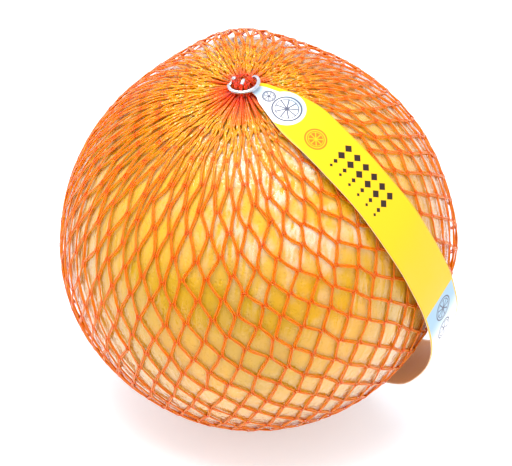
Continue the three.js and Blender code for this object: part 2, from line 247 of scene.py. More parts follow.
class Socket:
    """A shader socket that can stand in arithmetic. Each operation adds its Math node."""

    def __init__(self, graph: "Graph", source: bpy.types.NodeSocket) -> None:
        """Wraps a socket of a graph."""
        self.graph = graph
        self.source = source

    def _with(self, operation: str, first: object, second: object = None) -> "Socket":
        """A Math node's result."""
        given = {0: first} if second is None else {0: first, 1: second}
        return self.graph.node("ShaderNodeMath", given, operation=operation)

    def __add__(self, other: object) -> "Socket":
        """self + other."""
        return self._with("ADD", self, other)

    def __sub__(self, other: object) -> "Socket":
        """self - other."""
        return self._with("SUBTRACT", self, other)

    def __rsub__(self, other: object) -> "Socket":
        """other - self."""
        return self._with("SUBTRACT", other, self)

    def __mul__(self, other: object) -> "Socket":
        """self * other."""
        return self._with("MULTIPLY", self, other)

    def __pow__(self, other: object) -> "Socket":
        """self to a power."""
        return self._with("POWER", self, other)

    def __abs__(self) -> "Socket":
        """The value without its sign."""
        return self._with("ABSOLUTE", self)

    __radd__ = __add__
    __rmul__ = __mul__

    def most(self, other: object) -> "Socket":
        """The larger of the two."""
        return self._with("MAXIMUM", self, other)

    def remainder(self, step: float) -> "Socket":
        """What is left after whole steps, from 0 to the step."""
        return self._with("FLOORED_MODULO", self, step)

    def angle_to(self, other: object) -> "Socket":
        """The angle of the point (other, self) round the origin, in radians."""
        return self._with("ARCTAN2", self, other)

    def root(self) -> "Socket":
        """The square root."""
        return self._with("SQRT", self)

    def ramp(self, low: float, high: float) -> "Socket":
        """Zero at low and one at high, eased at both ends. High may lie below low."""
        return self.graph.node(
            "ShaderNodeMapRange",
            {"Value": self, "From Min": low, "From Max": high},
            interpolation_type="SMOOTHSTEP",
        )


class Graph:
    """The node tree of one material, with one method that adds any node."""

    def __init__(self, name: str) -> None:
        """Makes an empty material with an output."""
        self.material = bpy.data.materials.new(name)
        self.material.use_nodes = True
        self.tree = self.material.node_tree
        self.tree.nodes.clear()

    def node(self, kind: str, sockets: dict | None = None, output: object = 0, **settings: object) -> Socket:
        """Adds a node.

        Args:
            kind: The node's type.
            sockets: Values or links for its inputs, by name or number.
            output: The name or number of the output to return.
            settings: The node's own settings, which are set first.
        Returns:
            The wanted output.
        """
        made = self.tree.nodes.new(kind)
        for name, value in settings.items():
            setattr(made, name, value)
        for name, value in (sockets or {}).items():
            if isinstance(value, Socket):
                self.tree.links.new(value.source, made.inputs[name])
            else:
                made.inputs[name].default_value = value
        return Socket(self, made.outputs[output])

    def surface(self, shader: Socket) -> bpy.types.Material:
        """Links a shader to the material's output and returns the material."""
        output = self.tree.nodes.new("ShaderNodeOutputMaterial")
        self.tree.links.new(shader.source, output.inputs["Surface"])
        return self.material

    def place(self, stretch: tuple[float, float, float] = (1, 1, 1), turn: tuple = (0, 0, 0)) -> Socket:
        """Object coordinates in metres, turned and then stretched."""
        coordinates = self.node("ShaderNodeTexCoord", output="Object")
        if stretch == (1, 1, 1) and turn == (0, 0, 0):
            return coordinates
        turned = self.node("ShaderNodeMapping", {"Vector": coordinates, "Rotation": turn})
        return self.node("ShaderNodeMapping", {"Vector": turned, "Scale": stretch})

    def value(self, name: str) -> Socket:
        """A number stored on the mesh."""
        return self.node("ShaderNodeAttribute", output="Fac", attribute_name=name)

    def parts(self, vector: Socket) -> tuple[Socket, ...]:
        """The three numbers of a vector."""
        split = self.node("ShaderNodeSeparateXYZ", {"Vector": vector})
        return tuple(Socket(self, output) for output in split.source.node.outputs)

    def noise(self, place: Socket, size_mm: float, detail: float = 2, roughness: float = 0.5) -> Socket:
        """Soft noise from 0 to 1 whose blotches are about a size across."""
        given = {"Vector": place, "Scale": 1 / (size_mm * MM), "Detail": detail, "Roughness": roughness}
        return self.node("ShaderNodeTexNoise", given)

    def cells(self, place: Socket, size_mm: float) -> Socket:
        """Distance to the nearest of scattered points, about a size apart."""
        given = {"Vector": place, "Scale": 1 / (size_mm * MM)}
        return self.node("ShaderNodeTexVoronoi", given, output="Distance", feature="F1")

    def mix(self, share: object, first: object, second: object) -> Socket:
        """A colour between two colours."""
        return self.node(
            "ShaderNodeMix", {0: share, 6: first, 7: second}, output=2, data_type="RGBA", clamp_factor=True
        )

    def bump(self, height: Socket, depth_mm: float) -> Socket:
        """A bumped normal: the height, 0 to 1, stands for a depth in millimetres."""
        return self.node("ShaderNodeBump", {"Height": height, "Strength": 1.0, "Distance": depth_mm * MM})

    def principled(self, **sockets: object) -> Socket:
        """A Principled shader. Underscores in the names stand for spaces."""
        return self.node(
            "ShaderNodeBsdfPrincipled", {name.replace("_", " "): value for name, value in sockets.items()}
        )


class Slot(Enum):
    """The record's material slots."""

    PEEL = "peel"
    FILM = "clear_film"
    NET = "net"
    LABEL = "label"
    WIRE = "clip_wire"


def settle(piece: bpy.types.Object, material: bpy.types.Material, slot: Slot, *nodes: str) -> None:
    """Dresses a piece, puts it on the part's body and hides the CAD nodes that it stands for.

    Args:
        piece: The finished piece.
        material: Its material.
        slot: The record's slot that it belongs to. It is not used.
        nodes: The CAD nodes that it replaces.
    """
    piece.data.materials.append(material)
    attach(piece, BODY)
    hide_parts(*nodes)


@dataclass(frozen=True)
class PeelFinish:
    """The waxy rind: golden yellow with greener patches, set with small oil glands."""

    gold: tuple = linear(230, 168, 0)
    green: tuple = linear(208, 160, 0)
    # The colour of the painted shade on the rind's front low side.
    olive: tuple = linear(194, 152, 0)
    pale: tuple = linear(236, 180, 16)
    scar: tuple = linear(176, 158, 150)
    scar_dark: tuple = linear(120, 96, 78)
    blotch_mm: float = 34.0
    mottle_mm: float = 6.0
    gland_mm: float = 1.5
    gland_depth_mm: float = 0.22
    gland_shade: float = 0.3
    roughness: float = 0.42

    def peel(self) -> bpy.types.Material:
        """The rind's material. The mesh's stored value, 0 to 1, is painted shade: it darkens the rind towards
        olive on its front low side.
        """
        g = Graph("peel")
        place = g.place()
        blotches = g.noise(place, self.blotch_mm, detail=3)
        mottle = g.noise(place, self.mottle_mm, detail=3, roughness=0.6)
        colour = g.mix(blotches.ramp(0.42, 0.66), self.gold, self.green)
        # Painted shade: the rind turns a darker olive on its front low side, by the stored value.
        colour = g.mix(g.value("olive") * (mottle * 0.5 + 0.6), colour, self.olive)
        colour = g.mix(mottle.ramp(0.45, 0.85) * 0.5, colour, self.pale)
        gland = g.cells(place, self.gland_mm).ramp(0.0, 0.55)
        colour = g.mix((1 - gland) * self.gland_shade, colour, self.green)
        fine = g.noise(place, 0.5, detail=2)
        normal = g.bump(gland * 0.85 + fine * 0.15, self.gland_depth_mm)
        roughness = mottle * 0.2 + (self.roughness - 0.06)
        return g.surface(g.principled(Base_Color=colour, Roughness=roughness, Normal=normal, IOR=1.3))

    def stem(self) -> bpy.types.Material:
        """The dry, corky button where the stem was cut."""
        g = Graph("stem_scar")
        place = g.place()
        grain = g.noise(place, 0.7, detail=4, roughness=0.7)
        colour = g.mix(grain.ramp(0.35, 0.65), self.scar_dark, self.scar)
        normal = g.bump(grain, 0.3)
        return g.surface(g.principled(Base_Color=colour, Roughness=0.85, Normal=normal))


@dataclass(frozen=True)
class FilmFinish:
    """Thin clear film with a faint haze and long streaks. Its ridges towards the upper front carry a painted
    highlight: patches of white diffuse haze.

    Each face mirrors a small share head on, and the rest by a power of its slant to the eye, which
    is the same from both sides, as it is on a film that is far thinner than a pane.
    """

    haze: float = 0.002
    ridge_haze: float = 0.004
    painted_highlight_haze: float = 0.42
    crease_depth_mm: float = 0.22
    streak_mm: float = 3.4
    streak_stretch: tuple[float, float, float] = (1, 1, 0.12)
    streak_turn: tuple[float, float, float] = (0.2, -0.1, 0)
    dent_mm: float = 9.0
    patch_mm: float = 11.0
    roughness: float = 0.08
    head_on: float = 0.016
    slant_power: float = 3.4
    white: tuple = (1.0, 1.0, 1.0, 1.0)
    # The white of the film's faint haze, and of its painted highlight.
    haze_and_painted_highlight_white: tuple = linear(255, 244, 226)

    def film(self) -> bpy.types.Material:
        """The film's material. The mesh's stored value, 0 to 1, is how much painted highlight, as white
        diffuse haze, its ridges carry.
        """
        g = Graph("clear_film")
        pulled = g.place(stretch=self.streak_stretch, turn=self.streak_turn)
        streaks = g.noise(pulled, self.streak_mm, detail=3, roughness=0.55)
        ridges = (1 - abs(streaks - 0.5) * 7).most(0.0)
        dents = g.noise(g.place(), self.dent_mm, detail=2)
        normal = g.bump(ridges * 0.6 + dents * 0.9, self.crease_depth_mm)
        slant = g.node("ShaderNodeLayerWeight", {"Blend": 0.5, "Normal": normal}, output="Facing")
        mirror = slant**self.slant_power * (1 - self.head_on) + self.head_on
        shine = {"Color": self.white, "Roughness": self.roughness, "Normal": normal}
        gloss = g.node("ShaderNodeBsdfAnisotropic", shine)
        clear = g.node("ShaderNodeBsdfTransparent", {"Color": self.white})
        haze_and_painted_highlight_diffuse = g.node("ShaderNodeBsdfDiffuse", {"Color": self.haze_and_painted_highlight_white})
        # Painted highlight: patches of white diffuse haze on the ridges, where the stored value says.
        patches = g.noise(g.place(), self.patch_mm, detail=2).ramp(0.38, 0.62) * g.value("creased")
        haze_and_painted_highlight = ridges * (patches * self.painted_highlight_haze + self.ridge_haze) + self.haze
        clear_haze_and_painted_highlight = g.node("ShaderNodeMixShader", {0: haze_and_painted_highlight, 1: clear, 2: haze_and_painted_highlight_diffuse})
        return g.surface(g.node("ShaderNodeMixShader", {0: mirror, 1: clear_haze_and_painted_highlight, 2: gloss}))


@dataclass(frozen=True)
class NetFinish:
    """Extruded plastic yarn: bright orange in single strands, and redder where it lies dense.

    Light goes a little way into it. Yarn that is pulled taut is paler, with painted glints: pale spots in its
    colour.
    """

    open_colour: tuple = linear(212, 114, 0)
    taut_colour: tuple = linear(246, 150, 4)
    # The colour of the painted glints on taut yarn.
    painted_glint_colour: tuple = linear(255, 226, 160)
    dense_colour: tuple = linear(238, 46, 4)
    painted_glint_mm: float = 0.9
    painted_glint_share: float = 0.75
    scratch_mm: float = 0.35
    scratch_depth_mm: float = 0.11
    roughness: float = 0.26
    glow: float = 0.9
    glow_depth_mm: float = 1.5
    glow_reach: tuple[float, float, float] = (1.0, 0.5, 0.08)

    def net(self) -> bpy.types.Material:
        """The yarn's material. The mesh's values dense and taut run from 0 to 1."""
        g = Graph("net_yarn")
        drift = g.noise(g.place(), 4, detail=2) * 0.4 - 0.2
        colour = g.mix(g.value("taut"), self.open_colour, self.taut_colour)
        # Painted glints: pale spots mixed into the colour of the taut yarn.
        painted_glints = g.noise(g.place(), self.painted_glint_mm, detail=2, roughness=0.6).ramp(0.58, 0.64)
        colour = g.mix(painted_glints * g.value("taut") * self.painted_glint_share, colour, self.painted_glint_colour)
        colour = g.mix(g.value("dense") + drift, colour, self.dense_colour)
        scratch = g.noise(g.place(), self.scratch_mm, detail=2)
        normal = g.bump(scratch, self.scratch_depth_mm)
        roughness = scratch * 0.2 + (self.roughness - 0.1)
        return g.surface(
            g.principled(
                Base_Color=colour,
                Roughness=roughness,
                Normal=normal,
                IOR=1.38,
                Subsurface_Weight=self.glow,
                Subsurface_Radius=self.glow_reach,
                Subsurface_Scale=self.glow_depth_mm * MM,
            )
        )


@dataclass(frozen=True)
class WireFinish:
    """Bright aluminium wire with drawing marks along it and small pinch marks."""

    colour: tuple = linear(234, 236, 240)
    marked: tuple = linear(190, 194, 204)
    mark_mm: float = 0.6
    mark_depth_mm: float = 0.04
    roughness: float = 0.22

    def wire(self) -> bpy.types.Material:
        """The wire's material."""
        g = Graph("clip_wire")
        marks = g.noise(g.place(), self.mark_mm, detail=4, roughness=0.65)
        tone = g.mix(marks.ramp(0.35, 0.75), self.colour, self.marked)
        normal = g.bump(marks, self.mark_depth_mm)
        roughness = marks * 0.25 + (self.roughness - 0.08)
        return g.surface(g.principled(Base_Color=tone, Metallic=1.0, Roughness=roughness, Normal=normal))


class BandPrint:
    """Flat shapes on the band, as masks: one inside a shape and zero outside, with a soft edge.

    A place on the band is how far along it and how far across from its middle a point lies.
    """

    def __init__(self, graph: Graph, length: float, width: float, edge: float = 0.12) -> None:
        """Reads the band's map.

        Args:
            graph: The material's graph.
            length: The band's length in millimetres.
            width: Its width in millimetres.
            edge: Half the width of a shape's soft edge.
        """
        along, across, _ = graph.parts(graph.node("ShaderNodeUVMap", uv_map="band"))
        self.along = along * length
        self.across = (across - 0.5) * width
        self.edge = edge

    def inside(self, distance: Socket) -> Socket:
        """One where a signed distance is below zero."""
        return distance.ramp(self.edge, -self.edge)

    def rim(self, at: float, side: float, radius: float) -> tuple[Socket, Socket, Socket]:
        """Signed distance from a circle, with the two offsets from its middle."""
        dx, dy = self.along - at, self.across - side
        return (dx * dx + dy * dy).root() - radius, dx, dy

    def disc(self, at: float, side: float, radius: float) -> Socket:
        """A filled circle."""
        return self.inside(self.rim(at, side, radius)[0])

    def wheel(self, at: float, side: float, radius: float, segments: int) -> Socket:
        """A citrus slice: a rim, the edge of its flesh and the lines between its segments."""
        rim, dx, dy = self.rim(at, side, radius)
        line = max(0.05 * radius, 0.2)
        ring = self.inside(abs(rim) - line * 1.2)
        flesh = rim + radius * 0.2
        inner = self.inside(abs(flesh) - line * 0.7)
        turn = dy.angle_to(dx).remainder(TAU / segments) - math.pi / segments
        spoke = self.inside((math.pi / segments - abs(turn)) * (rim + radius) - line)
        return ring.most(inner).most(spoke * self.inside(flesh))

    def lozenges(self, side: float, size: float, pitch: float, start: float, end: float) -> Socket:
        """A row of lozenges at an even pitch along the band, between two places."""
        slot = abs((self.along - start).remainder(pitch) - pitch / 2)
        stretch = self.inside(start - self.along) * self.inside(self.along - end)
        return self.inside(slot + abs(self.across - side) - size) * stretch


@dataclass(frozen=True)
class LabelFinish:
    """Printed plastic band, with its print laid out in millimetres along it and across it.

    Wheels are given by place along, place across, radius and number of segments, discs by the first
    three, and rows of lozenges by place across and half width.
    """

    yellow: tuple = linear(238, 190, 0)
    inner: tuple = linear(255, 220, 186)
    white: tuple = linear(252, 252, 252)
    blue: tuple = linear(158, 192, 212)
    grey: tuple = linear(84, 86, 104)
    orange: tuple = linear(228, 112, 6)
    brown: tuple = linear(44, 24, 14)
    roughness: float = 0.4
    wear_mm: float = 3.0
    wave_mm: float = 14.0
    panel_end: tuple = (14.0, -0.4, 7.4)
    panel_slope: tuple = (0.35, 1.0)
    panel_side: float = -7.8
    upper_wheels: tuple = ((14.6, -0.2, 5.2, 9), (6.4, -0.3, 2.3, 7))
    fruit_disc: tuple = (30.0, -2.0, 4.2)
    fruit_wheel: tuple = (30.0, -2.0, 3.4, 8)
    lozenge_rows: tuple = ((4.6, 1.7), (0.7, 1.7), (-2.6, 1.0), (-5.0, 0.7))
    lozenge_pitch: float = 4.6
    lozenge_stretch: tuple = (38.0, 65.6)
    lower_stretch: tuple = (113.5, 206.0)
    lower_half_width: float = 9.4
    lower_wheels: tuple = ((120.5, 0.8, 4.6, 9), (131.5, -0.8, 4.0, 7))

    def band(self, length: float, width: float) -> bpy.types.Material:
        """The outer face's material.

        Args:
            length: The band's length in millimetres.
            width: Its width in millimetres.
        Returns:
            The material.
        """
        g = Graph("label_print")
        flat = BandPrint(g, length, width)
        colour = self._lower_panel(g, flat, self._motifs(g, flat, self._upper_panel(g, flat)))
        wear = g.noise(g.place(), self.wear_mm, detail=3)
        normal = g.bump(g.noise(g.place(), self.wave_mm, detail=1) * 0.8 + wear * 0.2, 0.12)
        roughness = wear * 0.16 + (self.roughness - 0.08)
        return g.surface(g.principled(Base_Color=colour, Roughness=roughness, Normal=normal, IOR=1.4))

    def _upper_panel(self, g: Graph, flat: BandPrint) -> Socket:
        """The yellow ground, and the white panel with two wheels at the upper tip. The panel's bluish upper
        side and tip are painted shade.
        """
        along, across = flat.along, flat.across
        slope, start = self.panel_slope
        body = (along - self.panel_end[0]).most(across - along * slope - start).most(self.panel_side - across)
        panel = flat.inside(body).most(flat.disc(*self.panel_end))
        colour = g.mix(panel, self.yellow, self.white)
        # Painted shade: the white panel turns bluish towards its upper side and near the tip, under the wire.
        painted_shade_side = (across * 0.25 + (along - 12) * 0.05).ramp(0, 1.6)
        tip = (7 - along).ramp(0, 5)
        colour = g.mix(panel * painted_shade_side.most(tip) * 0.8, colour, self.blue)
        return self._wheels(g, flat, colour, self.upper_wheels)

    def _motifs(self, g: Graph, flat: BandPrint, colour: Socket) -> Socket:
        """The orange disc with a yellow wheel on it, and the rows of brown lozenges."""
        colour = g.mix(flat.disc(*self.fruit_disc), colour, self.orange)
        colour = g.mix(flat.wheel(*self.fruit_wheel) * 0.85, colour, self.yellow)
        for side, size in self.lozenge_rows:
            row = flat.lozenges(side, size, self.lozenge_pitch, *self.lozenge_stretch)
            colour = g.mix(row, colour, self.brown)
        return colour

    def _lower_panel(self, g: Graph, flat: BandPrint, colour: Socket) -> Socket:
        """The blue panel that pales to white along the band, with its two wheels."""
        along, across = flat.along, flat.across
        start, end = self.lower_stretch
        panel = flat.inside(start - along + across * 0.1) * flat.inside(along - end)
        panel = panel * flat.inside(abs(across) - self.lower_half_width)
        colour = g.mix(panel, colour, self.blue)
        colour = g.mix(panel * (along - 120).ramp(0, 14), colour, self.white)
        return self._wheels(g, flat, colour, self.lower_wheels)

    def _wheels(self, g: Graph, flat: BandPrint, colour: Socket, wheels: tuple) -> Socket:
        """Grey citrus wheels over a colour."""
        for wheel in wheels:
            colour = g.mix(flat.wheel(*wheel), colour, self.grey)
        return colour

    def back(self) -> bpy.types.Material:
        """The inner face and the edges: unprinted plastic, a warm white with yellow coming through."""
        g = Graph("label_back")
        wear = g.noise(g.place(), self.wear_mm, detail=3)
        colour = g.mix(wear * 0.3, self.inner, self.yellow)
        roughness = wear * 0.16 + self.roughness
        return g.surface(g.principled(Base_Color=colour, Roughness=roughness, IOR=1.5))


@dataclass(frozen=True)
class FloorFinish:
    """A matt sheet under the fruit, which may be faintly lit through from below as a light table is."""

    name: str = "table_white"
    white: tuple = (0.6, 0.6, 0.61, 1.0)
    roughness: float = 0.7
    glow: float = 0.5
    glow_colour: tuple = (1.0, 0.97, 1.0, 1.0)

    def floor(self) -> bpy.types.Material:
        """The sheet's material."""
        g = Graph(self.name)
        lit = {"Emission_Color": self.glow_colour, "Emission_Strength": self.glow}
        return g.surface(g.principled(Base_Color=self.white, Roughness=self.roughness, **lit))


@dataclass(frozen=True)
class FruitForm:
    """The fruit's outline, which every layer over it follows."""

    radius: float = 72.3
    centre_height: float = 73.6
    neck_rise: float = 4.4
    neck_spread: float = 15.0
    dimple_depth: float = 1.4
    dimple_spread: float = 4.5
    blossom_flattening: float = 0.9
    blossom_spread: float = 30.0
    swelling: tuple[float, float, float, float, float, float] = (0.7, 2.6, -1.1, 2.2, -1.9, 0.0)
    stretch_spread: float = 22.0
    stem: np.ndarray = field(default_factory=lambda: leaning(13.9, -5.7, 1))
    top: np.ndarray = field(default_factory=lambda: leaning(-18.6, -3.9, 1))
    bottom: np.ndarray = field(default_factory=lambda: leaning(31.0, 4.0, -1))

    @property
    def centre(self) -> np.ndarray:
        """The middle of the fruit."""
        return np.array([0.0, 0.0, self.centre_height])

    def place(
        self,
        direction: np.ndarray,
        height: np.ndarray | float,
        dimple: float = 0.0,
        stretch: float = 0.0,
        floor: float = 0.0,
    ) -> np.ndarray:
        """Points over the peel.

        The distance from the centre is the radius and the height, plus a bell round the stem, less a
        narrow bell for its dimple and a wide one at the blossom end, plus a slow product of sines.

        Args:
            direction: Unit vectors from the centre, (..., 3).
            height: Height over the peel.
            dimple: Share of the stem's dimple that is followed.
            stretch: Extra height at the neck, for what is stretched over it.
            floor: Lowest level over the table.
        Returns:
            The points, (..., 3).
        """
        from_stem = degrees_from(direction, self.stem)
        neck = self.neck_rise * bell(from_stem, self.neck_spread)
        neck = neck + stretch * bell(from_stem, self.stretch_spread)
        hollow = dimple * self.dimple_depth * bell(from_stem, self.dimple_spread)
        blossom = self.blossom_flattening * bell(180 - from_stem, self.blossom_spread)
        amount, sideways, start, upwards, backwards, turn = self.swelling
        x, y, z = np.moveaxis(direction, -1, 0)
        wave = amount * np.sin(sideways * x + start) * np.sin(upwards * z + backwards * y + turn)
        reach = self.radius + height + neck - hollow - blossom + wave
        points = self.centre + direction * reach[..., None]
        points[..., 2] = np.maximum(points[..., 2], floor)
        return points

    def outward(self, points: np.ndarray) -> np.ndarray:
        """Unit vectors away from the middle of the fruit."""
        return unit(points - self.centre)


@dataclass(frozen=True)
class Frame:
    """An axis with two directions across it, the first as near to +X as it can be."""

    axis: np.ndarray

    def direction(self, polar: np.ndarray, turn: np.ndarray) -> np.ndarray:
        """Unit vectors at a polar angle from the axis and an angle round it, both in radians."""
        across = unit(np.array([1.0, 0, 0]) - self.axis * self.axis[0])
        along = np.cross(self.axis, across)
        polar, turn = np.broadcast_arrays(polar, turn)
        sine = np.sin(polar)
        parts = (np.cos(polar), sine * np.cos(turn), sine * np.sin(turn))
        return sum(part[..., None] * vector for part, vector in zip(parts, (self.axis, across, along)))


@dataclass
class Fruit:
    """The pomelo itself, with the corky button in its stem's dimple."""

    form: FruitForm
    finish: PeelFinish
    rings: int = 260
    segments: int = 340
    lumps: tuple = (Unevenness(26, 3), 0.22)
    pits: tuple = (Unevenness(7, 5), 0.07)
    furrows: int = 11
    furrow_depth: float = 0.35
    furrow_bend: float = 1.4
    furrow_start: tuple[float, float] = (2.0, 9.0)
    furrow_spread: float = 24.0
    floor: float = 2.6
    button_radius: float = 3.6
    button_grid: tuple[int, int] = (22, 60)
    button_lobes: tuple = ((5, 0.13, 0.0), (13, 0.05, 1.0))
    button_rim: float = 0.75
    button_dome: float = 0.35
    button_wrinkles: tuple[int, float] = (9, 0.12)
    button_skirt: float = 0.5
    button_middle: float = 0.3
    # Where the painted olive shade lies on the rind, and how widely it spreads.
    olive_towards: tuple[float, float, float] = (-0.14, -0.98, 0.14)
    olive_spread: float = 19.0

    def build(self) -> None:
        """Builds the rind and the button."""
        maker = MeshMaker()
        polar = np.linspace(0, math.pi, self.rings + 2)[1:-1, None]
        turn = np.linspace(0, -TAU, self.segments, endpoint=False)[None, :]
        axis = Frame(self.form.stem)
        direction = axis.direction(polar, turn)
        # Painted shade: the rind is darkened to olive round one direction on its front low side.
        olive = bell(degrees_from(direction, self.olive_towards), self.olive_spread)
        maker.globe(self._skin(direction, polar, turn), self._tip(1), self._tip(-1), olive=olive)
        settle(maker.finish("peel_rind"), self.finish.peel(), Slot.PEEL, "pomelo_fruit")
        self._button(axis)

    def _skin(self, direction: np.ndarray, polar: np.ndarray, turn: np.ndarray) -> np.ndarray:
        """The peel's points: the outline with soft lumps, and furrows that run down from the neck."""
        around = direction * self.form.radius
        from_stem = np.degrees(polar)
        fade = smoothstep(*self.furrow_start, from_stem) * bell(from_stem, self.furrow_spread)
        bent = self.furrows * turn + self.furrow_bend * np.sin(2 * turn)
        furrow = np.cos(bent) * fade * self.furrow_depth
        uneven = sum(unevenness.at(around) * depth for unevenness, depth in (self.lumps, self.pits))
        return self.form.place(direction, furrow + uneven, dimple=1.0, floor=self.floor)

    def _tip(self, side: int) -> np.ndarray:
        """The pole of the peel on one side of the stem's axis."""
        return self.form.place((side * self.form.stem)[None], np.zeros(1), dimple=1.0, floor=self.floor)[0]

    def _button(self, axis: Frame) -> None:
        """The stem's scar: a low dome with a lobed rim and a sunken middle, on the dimple.

        Over a share of the radius, the height is a half sine raised to 0.7 for the rim, a dome of one
        less the share squared, and wrinkles. The radius carries cosines for the lobes.
        """
        maker = MeshMaker()
        rings, segments = self.button_grid
        share = np.linspace(0.04, 1.0, rings)[:, None]
        turn = np.linspace(0, -TAU, segments, endpoint=False)[None, :]
        waves = (depth * np.cos(count * turn + start) for count, depth, start in self.button_lobes)
        lobes = 1 + sum(waves) * share
        direction = axis.direction(self.button_radius * share * lobes / self.form.radius, turn)
        rim = self.button_rim * np.sin(np.clip(share * 1.12, 0, 1) * math.pi) ** 0.7
        count, depth = self.button_wrinkles
        ridge = rim + self.button_dome * (1 - share**2) + depth * np.cos(count * turn) * share * (1 - share)
        skirt = -self.button_skirt * smoothstep(0.93, 1.0, share)
        top = self.form.place(direction, ridge + skirt, dimple=1.0)
        stem = self.form.stem[None]
        tip = self.form.place(stem, np.full(1, self.button_middle), dimple=1.0)[0]
        base = self.form.place(stem, np.full(1, -self.button_skirt), dimple=1.0)[0]
        maker.globe(top, tip, base)
        settle(maker.finish("stem_button"), self.finish.stem(), Slot.PEEL, "pomelo_fruit")


@dataclass
class FilmWrap:
    """The clear film, shrunk on to the fruit and puckered where it closes underneath."""

    form: FruitForm
    finish: FilmFinish
    height: float = 0.78
    thickness: float = 0.08
    floor: float = 1.9
    open_from: float = 174.0
    rings: int = 230
    segments: int = 360
    slack: tuple = (Unevenness(15, 11), 0.1)
    slack_stretch: tuple[float, float, float] = (1, 1, 0.3)
    puckers: int = 28
    pucker_depth: float = 0.3
    pucker_spread: float = 16.0
    # Where the film's ridges carry the painted highlight, and how widely it spreads.
    creased_towards: tuple[float, float, float] = (0.2, -0.73, 0.65)
    creased_spread: float = 25.0

    def build(self) -> None:
        """Builds the film: the outline with soft streaks, and with puckers round its closing."""
        maker = MeshMaker()
        polar = np.radians(np.linspace(0, self.open_from, self.rings + 1))[1:, None]
        turn = np.linspace(0, -TAU, self.segments, endpoint=False)[None, :]
        direction = Frame(self.form.stem).direction(polar, turn)
        from_end = self.open_from - np.degrees(polar)
        pucker = self.pucker_depth * np.cos(self.puckers * turn + 2 * np.sin(3 * turn))
        pucker = pucker * bell(from_end, self.pucker_spread)
        unevenness, depth = self.slack
        streaks = unevenness.at(direction * self.form.radius * np.array(self.slack_stretch)) * depth
        top = self.form.place(self.form.stem[None], np.full(1, self.height))[0]
        points = self.form.place(direction, self.height + pucker + streaks, floor=self.floor)
        # Painted highlight: the share of white diffuse haze on the ridges, round one direction on the upper
        # front.
        creased = bell(degrees_from(direction, self.creased_towards), self.creased_spread)
        maker.globe(points, top, None, creased=creased)
        piece = maker.finish("film_skin")
        solid = piece.modifiers.new("thickness", "SOLIDIFY")
        solid.thickness = self.thickness * MM
        solid.offset = -1
        settle(piece, self.finish.film(), Slot.FILM, "film_wrap")


